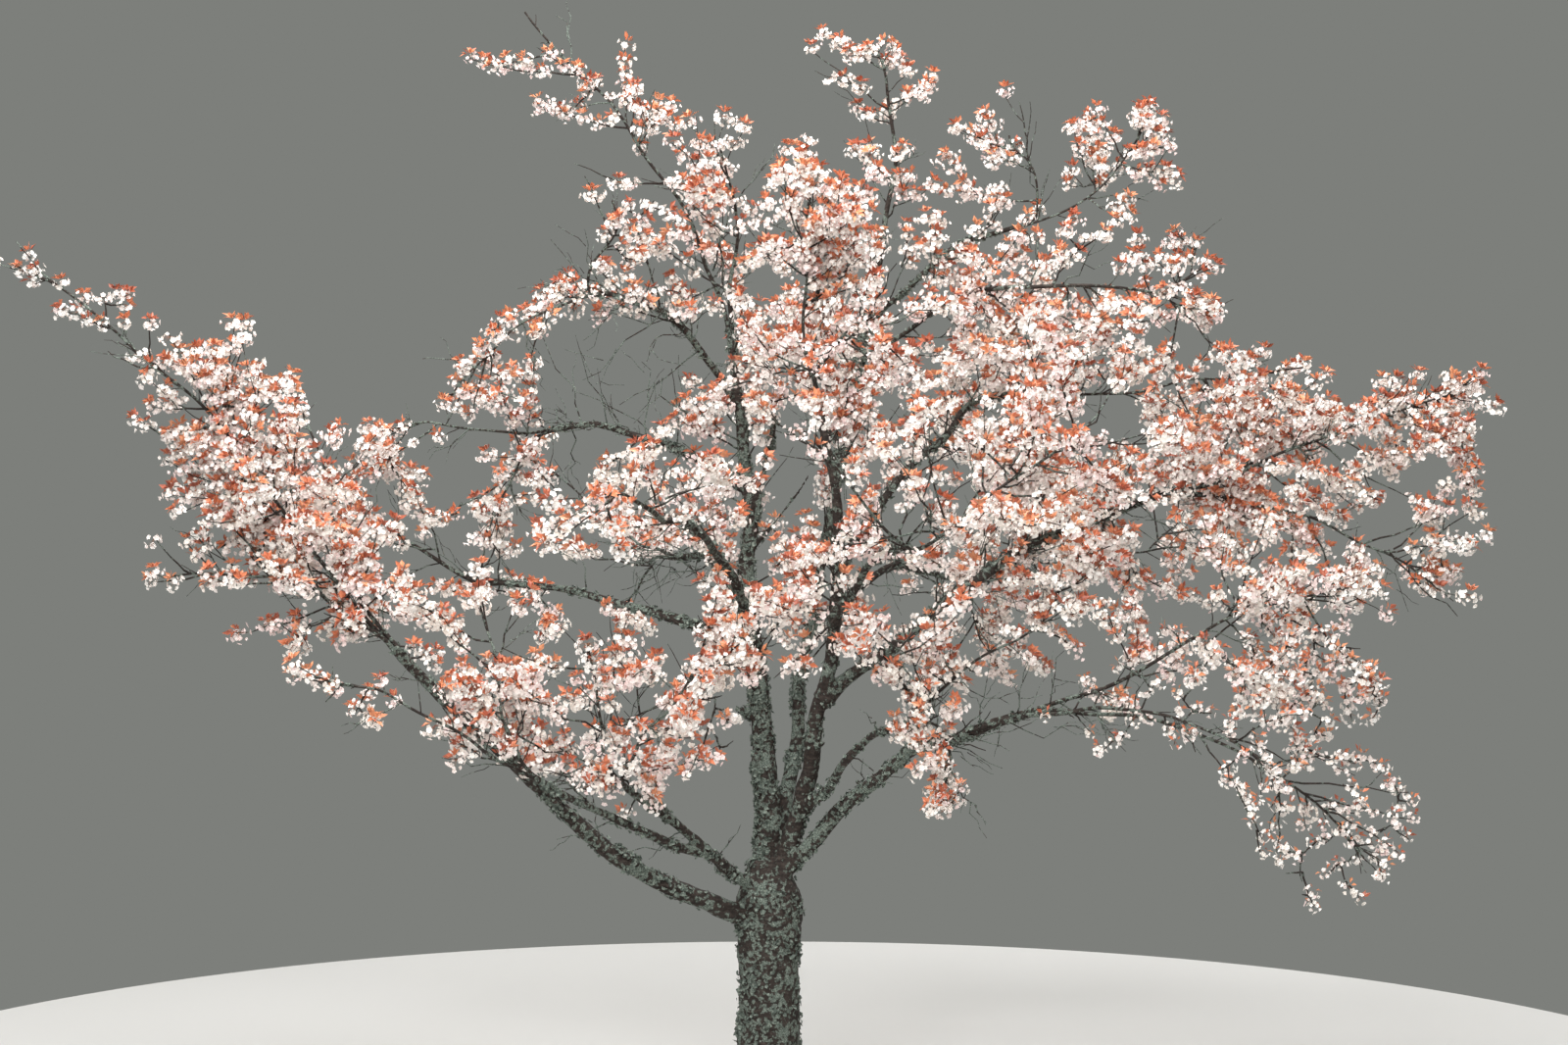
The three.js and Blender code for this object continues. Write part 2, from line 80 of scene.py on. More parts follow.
# stems and boughs: where each one leaves, its tip, how far its middle stands up or to the right, its girths
limbForms = {
    "stem_left": {
        "on": "trunk", "at": 0.74, "tip": (-0.25, 0.2, 4.79), "sway": 0.03, "girth": (0.188, 0.056)},
    "stem_back": {
        "on": "trunk", "at": 0.84, "tip": (0.65, 0.8, 5.06), "sway": -0.02, "girth": (0.112, 0.046)},
    "stem_right": {
        "on": "trunk", "at": 0.86, "tip": (0.3, -0.5, 4.28), "sway": 0.23, "girth": (0.128, 0.052)},
    "bough_left_low": {
        "on": "trunk", "at": 0.72, "tip": (-2.2, -0.9, 2.85), "rise": -0.23, "girth": (0.136, 0.058)},
    "bough_left_inner": {
        "on": "trunk", "at": 0.88, "tip": (-0.78, -0.9, 1.98), "rise": -0.05, "girth": (0.084, 0.05)},
    "bough_left_under": {
        "on": "bough_left_inner", "at": 0.5, "tip": (-1.35, -1.5, 2.16), "rise": -0.07,
        "girth": (0.06, 0.042)},
    "bough_left_middle": {
        "on": "stem_left", "at": 0.46, "tip": (-1.77, 0.9, 3.19), "rise": 0.09, "girth": (0.078, 0.042)},
    "bough_left_upper": {
        "on": "stem_left", "at": 0.73, "tip": (-1.41, 0.6, 4.17), "rise": 0.15, "girth": (0.062, 0.038)},
    "bough_arch": {
        "on": "stem_left", "at": 0.87, "tip": (-1.04, -0.4, 4.96), "rise": 0.2, "girth": (0.052, 0.036)},
    "bough_front_left": {
        "on": "stem_left", "at": 0.51, "tip": (-0.52, -1.5, 3.6), "rise": 0.15, "girth": (0.064, 0.042)},
    "bough_back_left": {
        "on": "stem_left", "at": 0.5, "tip": (-0.62, 1.15, 3.35), "rise": 0.15, "girth": (0.068, 0.044)},
    "bough_right_low": {
        "on": "trunk", "at": 0.88, "tip": (1.47, -0.6, 2.42), "rise": 0.19, "girth": (0.104, 0.064)},
    "bough_front_low": {
        "on": "stem_right", "at": 0.17, "tip": (0.82, -1.2, 2.45), "rise": 0.06, "girth": (0.07, 0.044)},
    "bough_right_main": {
        "on": "stem_right", "at": 0.41, "tip": (2.21, 0.3, 3.66), "rise": 0.13, "girth": (0.088, 0.056)},
    "bough_right_upper": {
        "on": "stem_right", "at": 0.68, "tip": (1.62, 0.9, 4.43), "rise": 0.24, "girth": (0.062, 0.042)},
    "bough_front_right": {
        "on": "stem_right", "at": 0.57, "tip": (0.79, -1.7, 3.43), "rise": 0.15, "girth": (0.06, 0.044)},
    "bough_top_right": {
        "on": "stem_back", "at": 0.94, "tip": (1.65, 1.0, 5.52), "rise": 0.15, "girth": (0.042, 0.032)},
    "bough_upper_right": {
        "on": "stem_back", "at": 0.88, "tip": (1.42, 0.0, 5.03), "rise": 0.08, "girth": (0.044, 0.03)},
    "bough_back_right": {
        "on": "stem_back", "at": 0.43, "tip": (1.02, 1.45, 3.25), "rise": 0.15, "girth": (0.066, 0.044)},
    "bough_back_middle": {
        "on": "stem_back", "at": 0.64, "tip": (0.43, 1.5, 4.15), "rise": 0.15, "girth": (0.054, 0.04)},
}

# masses of blossom: the bough each goes on from, where its own stem ends, how far its twigs stand out
# (spread), what is left of that at the end (taper) and how steeply they climb or hang (lift). Of its sprays,
# bloom is the share that is dressed (over 1: with more shoots), bareTo the share of the stem before them,
# and slimFrom the share beyond which each is a single slender twig. Extra sprays are given as their count,
# the share of the stem that they start at and how much they rise. No tip stands above the ceiling or below
# the floor. Leafy is the share of the usual young leaves.
massForms = {
    "top_left": {
        "on": "stem_left", "to": (-1.5, -0.2, 6.7), "rise": 0.06, "spread": 0.68, "lift": 0.2,
        "bloom": 0.5, "slimFrom": 0.5},
    "top_inner": {
        "on": "stem_left", "to": (-0.3, -0.3, 5.85), "sway": 0.06, "spread": 0.65, "lift": 0.3,
        "bloom": 0.75},
    "top_middle": {
        "on": "stem_back", "to": (0.62, 0.6, 6.68), "sway": 0.26, "spread": 0.65, "lift": 0.2,
        "bloom": 0.45, "bareTo": 0.4, "ceiling": 6.6},
    "centre_high": {
        "on": "stem_right", "to": (0.23, -0.7, 5.48), "sway": -0.09, "spread": 0.78, "taper": 0.7,
        "lift": 0.2, "extra": (3, 0.6, 0.1), "bloom": 1.2},
    "centre_front": {
        "on": "stem_right", "to": (0.65, -1.3, 4.77), "rise": 0.06, "spread": 0.78, "bloom": 0.3},
    "arch": {
        "on": "bough_arch", "to": (-1.9, -0.6, 4.33), "rise": 0.19, "sway": -0.06, "spread": 0.56,
        "lift": 0.0, "bloom": 0.25, "slimFrom": 0.3},
    "arch_top": {
        "on": "bough_arch", "to": (-0.94, -0.6, 5.5), "sway": 0.06, "spread": 0.61, "taper": 0.7,
        "lift": 0.3, "bloom": 0.45},
    "left_upper": {
        "on": "bough_left_upper", "to": (-2.47, 0.9, 4.17), "rise": 0.06, "spread": 0.56, "bloom": 0.4,
        "bareTo": 0.45},
    "left_hang": {
        "on": "bough_left_upper", "to": (-1.77, 0.3, 3.54), "rise": 0.1, "spread": 0.61, "lift": -0.4,
        "bloom": 0.25},
    "left_middle": {"on": "bough_left_middle", "to": (-2.71, 1.2, 3.6), "spread": 0.78, "bloom": 0.4},
    "left_far": {
        "on": "bough_left_low", "to": (-4.37, -1.2, 5.07), "rise": 0.4, "spread": 0.72, "taper": 0.4,
        "lift": 0.0, "bloom": 0.9, "slimFrom": 0.5, "extra": (8, 0.1, -0.2)},
    "left_outer": {
        "on": "bough_left_low", "to": (-3.53, -1.0, 3.26), "rise": 0.18, "spread": 0.78, "taper": 0.7,
        "lift": 0.0, "bloom": 0.55, "extra": (2, 0.3, 0.7), "floor": 3.15, "slimFrom": 0.6},
    "left_crown": {
        "on": "bough_left_low", "to": (-2.91, -0.2, 4.38), "rise": 0.06, "spread": 0.7, "taper": 0.7,
        "lift": 0.2, "bloom": 1.0, "ceiling": 4.4},
    "left_under": {
        "on": "bough_left_under", "to": (-2.48, -2.0, 2.74), "rise": 0.06, "spread": 0.75, "bloom": 0.2,
        "slimFrom": 0.6, "extra": (2, 0.05, 0.5)},
    "left_inner": {
        "on": "bough_left_under", "to": (-1.66, -1.3, 3.16), "rise": -0.06, "spread": 0.73, "bloom": 0.65,
        "extra": (6, 0.05, 0.2)},
    "front_left": {
        "on": "bough_left_inner", "to": (-0.97, -2.2, 2.92), "rise": -0.06, "spread": 0.76, "bloom": 0.6,
        "extra": (4, 0.15, 0.1)},
    "front_inner": {
        "on": "bough_left_inner", "to": (-0.38, -2.1, 2.8), "rise": -0.06, "spread": 0.68, "bloom": 0.5,
        "extra": (5, 0.05, 0.1)},
    "front_high": {
        "on": "bough_front_left", "to": (-0.9, -2.6, 3.72), "rise": 0.06, "spread": 0.76, "bloom": 0.4},
    "back_left": {
        "on": "bough_back_left", "to": (-1.63, 3.0, 3.96), "rise": 0.06, "spread": 0.86, "lift": 0.2,
        "bloom": 0.45},
    "back_left_low": {
        "on": "bough_back_left", "to": (-1.07, 3.0, 2.95), "rise": 0.1, "spread": 0.88, "lift": -0.1,
        "bloom": 0.4},
    "right_low": {
        "on": "bough_right_low", "to": (3.41, -0.9, 3.2), "rise": 0.13, "spread": 0.74, "lift": 0.0,
        "bloom": 1.1, "bareTo": 0.2, "extra": (3, 0.5, -0.3), "leafy": 0.5},
    "weeping_outer": {
        "on": "bough_right_low", "to": (3.44, -1.1, 1.64), "rise": 0.38, "spread": 0.66, "lift": 0.0,
        "bloom": 0.2, "bareTo": 0.4, "extra": (2, 0.45, -0.9), "floor": 1.45, "leafy": 0.25},
    "weeping_inner": {
        "on": "bough_right_low", "to": (2.76, -1.7, 2.24), "rise": 0.18, "spread": 0.65, "lift": 0.2,
        "bloom": 0.2, "bareTo": 0.4, "extra": (2, 0.55, -0.8), "leafy": 0.3},
    "front_hang": {
        "on": "bough_front_low", "to": (0.98, -1.7, 2.12), "rise": 0.13, "sway": 0.06, "spread": 0.39,
        "lift": -0.4, "bloom": 0.12, "extra": (1, 0.1, 0.1), "floor": 1.95, "leafy": 0.6},
    "front_low": {
        "on": "bough_front_low", "to": (1.58, -2.0, 3.11), "rise": 0.06, "spread": 0.81, "bloom": 0.5},
    "centre_low": {
        "on": "bough_front_low", "to": (0.33, -1.9, 3.38), "rise": -0.06, "sway": -0.06, "spread": 0.73,
        "bloom": 0.45},
    "right_far": {
        "on": "bough_right_main", "to": (4.3, 0.3, 4.39), "spread": 0.66, "taper": 0.75, "lift": -0.1,
        "bloom": 1.3, "extra": (12, 0.1, -0.3), "ceiling": 4.55},
    "right_drooping": {
        "on": "bough_right_main", "to": (4.12, 0.1, 3.2), "rise": 0.26, "spread": 0.74, "lift": -0.1,
        "bloom": 0.7, "extra": (2, 0.3, -0.3)},
    "right_upper": {
        "on": "bough_right_upper", "to": (3.47, 0.9, 4.59), "rise": -0.06, "spread": 0.73, "bloom": 1.3,
        "extra": (12, 0.3, -0.6), "ceiling": 4.6},
    "right_high": {
        "on": "bough_right_upper", "to": (2.81, 0.6, 5.23), "rise": 0.06, "spread": 0.75, "lift": 0.2,
        "bloom": 0.6, "ceiling": 5.3, "extra": (3, 0.5, 0.3)},
    "centre_right": {
        "on": "bough_front_right", "to": (1.79, -2.0, 4.13), "rise": 0.06, "spread": 0.86, "bloom": 1.2,
        "extra": (12, 0.2, 0.1)},
    "centre": {"on": "bough_front_right", "to": (0.25, -2.5, 4.0), "spread": 0.76, "bloom": 0.4},
    "top_right": {
        "on": "bough_top_right", "to": (2.48, 0.9, 6.28), "rise": -0.1, "sway": 0.1, "spread": 0.56,
        "lift": 0.3, "bloom": 0.5, "ceiling": 6.3, "extra": (3, 0.5, -0.5)},
    "top_right_inner": {
        "on": "bough_top_right", "to": (1.55, 0.9, 6.1), "sway": 0.04, "spread": 0.49, "lift": 0.3,
        "bloom": 0.5},
    "upper_right": {
        "on": "bough_upper_right", "to": (2.7, -0.3, 4.85), "rise": 0.08, "spread": 0.78, "bloom": 0.95,
        "extra": (4, 0.0, 0.0), "ceiling": 5.0},
    "back_right": {
        "on": "bough_back_right", "to": (3.15, 2.9, 3.39), "rise": 0.12, "spread": 0.94, "bloom": 1.0},
    "back_right_low": {
        "on": "bough_back_right", "to": (1.52, 3.0, 2.81), "rise": 0.1, "spread": 0.88, "lift": -0.1,
        "bloom": 0.7},
    "back_high": {
        "on": "bough_back_middle", "to": (0.37, 3.0, 5.04), "rise": 0.06, "spread": 0.86, "lift": 0.2,
        "extra": (4, 0.2, 0.3)},
    "back_middle": {
        "on": "bough_back_middle", "to": (1.46, 3.2, 4.33), "rise": 0.06, "spread": 0.91, "bloom": 0.55,
        "extra": (3, 0.3, 0.3)},
}

# the part's own rule for stems, twigs and sprays, with the same numbers
growthRule = {
    "slimming": 1.3,
    "tipGap": 0.00032,
    "sideBySide": {1: (0.0, 0.9), 2: (0.51, 0.46), 3: (0.55, 0.42)},
    "usualTaper": 0.8,
    "usualLift": 0.1,
    "spacing": 0.63,
    "along": (0.14, 0.98),
    "looseness": 0.5,
    "goldenAngle": 137.5,
    "stray": 40.0,
    "flatness": 0.8,
    "sweep": 0.35,
    "endSweep": 1.4,
    "fullest": 0.35,
    "rootLength": 0.75,
    "lengthRange": 0.3,
    "fork": 58.0,
    "bare": 0.2,
    "halfWidth": 0.19,
    "sizeRange": 0.2,
    "fullLength": 0.62,
    "sideSpots": (0.08, 0.13, 0.18),
    "sideLengths": (0.84, 0.76, 0.72),
    "sideSize": 0.94,
    "tipStart": 0.24,
    "tipLength": 0.4,
    "tipSize": 0.8,
    "shortenings": (1.0, 0.8, 0.62),
    "lowestBlossom": 1.08,
    "steep": 0.05,
    "firstSeed": 9,
}


# a unit vector, for one vector or a row of them
def unit(v):
    return v / np.maximum(np.linalg.norm(v, axis=-1, keepdims=True), 1e-12)


def levelAcross(heading):
    if math.hypot(heading[0], heading[1]) < growthRule["steep"]:
        return np.array([1.0, 0.0, 0.0])
    return unit(np.cross(heading, up))


def turned(v, axis, degrees):
    angle = math.radians(degrees)
    c, s = math.cos(angle), math.sin(angle)
    return v * c + np.cross(axis, v) * s + axis * np.dot(axis, v) * (1 - c)


def mix(a, b, share):
    return a + (b - a) * share


# the part's row of random numbers
def seededRandom(seed):
    state = seed

    def draw():
        nonlocal state
        state = (state * 1664525 + 1013904223) % 4294967296
        return state / 4294967296

    return draw


# a Bezier line measured along its length; wander bends it a little off its true course between its ends
lineForm = {
    "points": 201,
    "waveLength": 0.55,
    "waves": (0.5, 1.1, 1.7),  # each next one is smaller
    "fadeIn": 5,
    "fadeOut": 4,
    "limbWander": 0.022,
    "stemWander": 0.028,
    "stemSwell": 1.15,  # how much thicker a mass's stem starts than its share of the bough's end
}
seeds = {"limbs": 100, "stems": 200, "growth": 300, "lichen": 5, "crook": 7, "blossom": 41}


class Line:
    def __init__(self, controls, wander=0.0, seed=0):
        controls = np.array(controls, float)
        degree = len(controls) - 1
        t = np.linspace(0, 1, lineForm["points"])
        weights = [math.comb(degree, k) * t**k * (1 - t) ** (degree - k) for k in range(degree + 1)]
        course = np.stack(weights, 1) @ controls
        self.lengths = np.concatenate([[0], np.cumsum(np.linalg.norm(np.diff(course, axis=0), axis=1))])
        self.length = self.lengths[-1]
        if wander:
            rng = np.random.default_rng(seed)
            bends = max(2, int(round(self.length / lineForm["waveLength"])))
            phase = rng.uniform(0, 2 * np.pi, (3, 3))
            window = np.minimum(1, lineForm["fadeIn"] * t) * np.minimum(1, lineForm["fadeOut"] * (1 - t))
            for axis in range(3):
                for k, wave in enumerate(lineForm["waves"]):
                    size = wander / (k + 1)
                    course[:, axis] += window * size * np.sin(np.pi * bends * wave * t + phase[axis, k])
        self.course = course
        self.headings = unit(np.gradient(course, axis=0))

    def rowAt(self, share, rows):
        steps = np.arange(len(rows))
        where = np.interp(np.asarray(share) * self.length, self.lengths, steps)
        return np.stack([np.interp(where, steps, rows[:, k]) for k in range(3)], -1)

    def pointAt(self, share):
        return self.rowAt(share, self.course)

    def headingAt(self, share):
        return unit(self.rowAt(share, self.headings))


def bowOf(form):
    return np.array([form.get("sway", 0.0), 0.0, form.get("rise", 0.0)])


def bowedLine(start, end, bow, wander=0.0, seed=0):
    return Line([start, mix(start, end, 0.5) + 2 * bow, end], wander, seed)


def leadingLine(start, heading, end, bow, wander=0.0, seed=0):
    first = start + heading * np.linalg.norm(end - start) / 3
    second = mix(start, end, 2 / 3) + bow * 4 / 3
    return Line([start, first, second, end], wander, seed)


# limbs, then the stems of the masses
limbs = {}
trunkTop = np.array([trunkForm["lean"], 0.0, trunkForm["height"]])
limbs["trunk"] = {"line": leadingLine(np.zeros(3), up, trunkTop, np.zeros(3))}
for number, (name, form) in enumerate(limbForms.items()):
    parent = limbs[form["on"]]["line"]
    start = parent.pointAt(form["at"])
    seed = seeds["limbs"] + number
    line = bowedLine(start, np.array(form["tip"]), bowOf(form), lineForm["limbWander"], seed)
    limbs[name] = {"line": line, "root": form["girth"][0] / 2, "tip": form["girth"][1] / 2}


def limbRadius(limb, share):
    return limb["tip"] + (limb["root"] - limb["tip"]) * (1 - share) ** growthRule["slimming"]


def makeStems(limbName, names):
    limb = limbs[limbName]
    heading = limb["line"].headingAt(1.0)
    centre = limb["line"].pointAt(1.0) + heading * growthRule["tipGap"]
    side = levelAcross(heading)
    over = np.cross(side, heading)
    ordered = []
    for name in names:
        aim = np.array(massForms[name]["to"]) - centre
        ordered.append((math.atan2(aim @ over, aim @ side), name))
    ordered.sort()
    slot = 2 * math.pi / len(names)
    sines = sum(math.sin(angle - slot * k) for k, (angle, _) in enumerate(ordered))
    cosines = sum(math.cos(angle - slot * k) for k, (angle, _) in enumerate(ordered))
    first = math.atan2(sines, cosines)
    offset, share = growthRule["sideBySide"][len(names)]
    made = {}
    for k, (_, name) in enumerate(ordered):
        angle = first + slot * k
        start = centre + (side * math.cos(angle) + over * math.sin(angle)) * offset * limb["tip"]
        form = massForms[name]
        seed = seeds["stems"] + list(massForms).index(name)
        line = leadingLine(start, heading, np.array(form["to"]), bowOf(form), lineForm["stemWander"], seed)
        made[name] = {"line": line, "root": limb["tip"] * share * lineForm["stemSwell"]}
    return made


stems = {}
for limbName in limbForms:
    names = [name for name in massForms if massForms[name]["on"] == limbName]
    if names:
        stems.update(makeStems(limbName, names))
print("limbs", len(limbs), "mass stems", len(stems))


# the line of a mass's stem, or of a limb
def lineOf(name):
    return (stems.get(name) or limbs[name])["line"]


# the part's rule: twigs round a mass's stem, each with three sprays round its bare part
def growTwigs(form, line, random):
    rule = growthRule
    count = max(3, math.floor(line.length / (form["spread"] * rule["spacing"]) + 0.5))
    taper = form.get("taper", rule["usualTaper"])
    lift = form.get("lift", rule["usualLift"])
    twigs = []
    for i in range(count):
        share = mix(*rule["along"], (i + rule["looseness"] * random()) / count)
        heading = line.headingAt(share)
        side = levelAcross(heading)
        over = np.cross(side, heading)
        turn = math.radians(rule["goldenAngle"] * i + rule["stray"] * random())
        direction = unit(
            side * math.cos(turn)
            + over * rule["flatness"] * math.sin(turn)
            + heading * (rule["sweep"] + rule["endSweep"] * share**3)
            + up * lift
        )
        if share < rule["fullest"]:
            swell = mix(rule["rootLength"], 1, share / rule["fullest"])
        else:
            swell = mix(1, taper, (share - rule["fullest"]) / (1 - rule["fullest"]))
        length = form["spread"] * swell * (1 + rule["lengthRange"] * (random() - 0.5))
        size = (1 + rule["sizeRange"] * (random() - 0.5)) * min(1, length / rule["fullLength"])
        across = levelAcross(direction)
        fan = 360 * random()
        sides = []
        for j, spot in enumerate(rule["sideSpots"]):
            away = turned(turned(direction, across, rule["fork"]), direction, fan + 120 * j)
            sides.append({"spot": spot, "length": length * rule["sideLengths"][j], "direction": away})
        twigs.append({
            "share": share,
            "root": line.pointAt(share),
            "direction": direction,
            "length": length,
            "size": size,
            "sides": sides,
        })
    return twigs


# a tree of points along every limb, to keep sprays out of the wood
woodForm = {"step": 0.05, "room": 0.03, "shootRoom": 0.02}
woodPoints = []
for name, limb in limbs.items():
    shares = np.linspace(0, 1, int(limb["line"].length / woodForm["step"]) + 2)
    radii = np.full(len(shares), trunkForm["waist"]) if name == "trunk" else limbRadius(limb, shares)
    woodPoints += [(p, r, name) for p, r in zip(limb["line"].pointAt(shares), radii)]
woodTree = kdtree.KDTree(len(woodPoints))
for k, (p, _, _) in enumerate(woodPoints):
    woodTree.insert(p, k)
woodTree.balance()


def hitsWood(root, tip, room=woodForm["room"]):
    for share in (0.5, 0.75, 1.0):
        place = mix(root, tip, share)
        _, index, distance = woodTree.find(place)
        if distance < woodPoints[index][1] + room:
            return True
    return False


# each mass and limb has its own row of random numbers, so that a change on one leaves the others alone
randoms = {
    name: np.random.default_rng(seeds["growth"] + number) for number, name in enumerate([*massForms, *limbs])}

# as seen from the best side the crown is open in places: ellipses round x, z with half width and half
# height, all in the plane y = 0, within which few twigs and clusters stay
openings = {
    "underArch": (-1.05, 4.39, 0.42, 0.38),
    "leftOfArch": (-1.95, 3.9, 0.17, 0.27),
    "aboveArch": (-1.73, 5.33, 0.28, 0.23),
    "topLeftEdge": (-1.51, 6.64, 0.3, 0.16),
    "topLeft": (-1.14, 5.67, 0.25, 0.3),
    "topInner": (-0.13, 5.9, 0.17, 0.24),
    "topRight": (1.67, 5.81, 0.12, 0.27),
    "stemFork": (0.115, 3.81, 0.2, 0.26),
    "byStemRight": (0.42, 3.75, 0.07, 0.09),
    "centreHigh": (0.71, 4.3, 0.09, 0.1),
    "centreLow": (0.77, 3.1, 0.1, 0.07),
    "rightHole": (2.085, 4.265, 0.2, 0.18),
    "hollowUpper": (-1.04, 3.22, 0.27, 0.13),
    "hollowLeft": (-1.7, 2.87, 0.23, 0.16),
    "hollowRight": (-0.69, 3.19, 0.2, 0.2),
    "hollowMiddle": (-1.49, 2.81, 0.07, 0.12),
    "byTrunkLeft": (-0.31, 2.33, 0.13, 0.21),
    "underLeftFar": (-4.17, 4.56, 0.21, 0.21),
    "leftTip": (-4.1, 3.17, 0.24, 0.24),
    "leftUnder": (-2.94, 2.42, 0.27, 0.18),
    "leftBottom": (-2.22, 2.02, 0.36, 0.15),
    "byTrunkRight": (0.57, 2.42, 0.2, 0.24),
    "underRight": (1.6, 2.42, 0.42, 0.13),
    "weepingInner": (2.51, 1.96, 0.3, 0.3),
    "upperRight": (2.96, 5.05, 0.21, 0.36),
    "belowLeftBough": (-1.37, 1.7, 0.27, 0.24),
    "belowRightTip": (3.87, 2.93, 0.25, 0.22),
    "besideStemBack": (0.8, 4.99, 0.12, 0.24),
    "leftCrown": (-2.69, 4.36, 0.19, 0.21),
    "leftMiddleLow": (-1.92, 3.33, 0.3, 0.12),
    "rightOfHang": (-1.22, 3.9, 0.15, 0.27),
    "leftOuterLow": (-3.21, 3.1, 0.21, 0.11),
    "hollowInner": (-1.19, 3.02, 0.11, 0.23),
    "hollowByTrunk": (-0.56, 2.83, 0.13, 0.22),
    "hollowLow": (-0.83, 2.47, 0.09, 0.08),
    "belowFrontLeft": (-0.62, 1.75, 0.18, 0.17),
    "rightGap": (3.81, 3.53, 0.25, 0.13),
    "rightNotch": (3.62, 4.52, 0.09, 0.12),
    "rightInnerGap": (2.39, 3.57, 0.17, 0.07),
    "topRightEdge": (2.68, 6.08, 0.21, 0.36),
    "topRightLow": (1.99, 5.57, 0.12, 0.11),
    "belowUpperRight": (2.5, 4.76, 0.16, 0.08),
    "besideStemTop": (-0.03, 5.05, 0.07, 0.12),
    "topLeftStem": (-0.72, 5.72, 0.1, 0.15),
    "rightOfLeftBough": (-2.18, 2.62, 0.1, 0.11),
    "besideUpperBough": (0.78, 3.57, 0.1, 0.13),
    "underMainBough": (0.82, 3.08, 0.12, 0.1),
    "aboveMainBough": (1.17, 3.78, 0.12, 0.07),
    "belowMainBough": (1.21, 2.83, 0.09, 0.11),
    "aboveArchRight": (-1.35, 5.3, 0.27, 0.19),
    "besideHang": (1.35, 2.22, 0.21, 0.16),
    "leftOfHang": (0.75, 2.01, 0.13, 0.21),
    "rightOfHangEnd": (1.37, 1.93, 0.13, 0.24),
}
leftIn = {  # shares that stay in such places
    "openingTwigs": 0.1,
    "openingClusters": 0.12,
    "bareTwigs": 0.15,  # on a stem before the part that is dressed
    "views": 0.3,
}

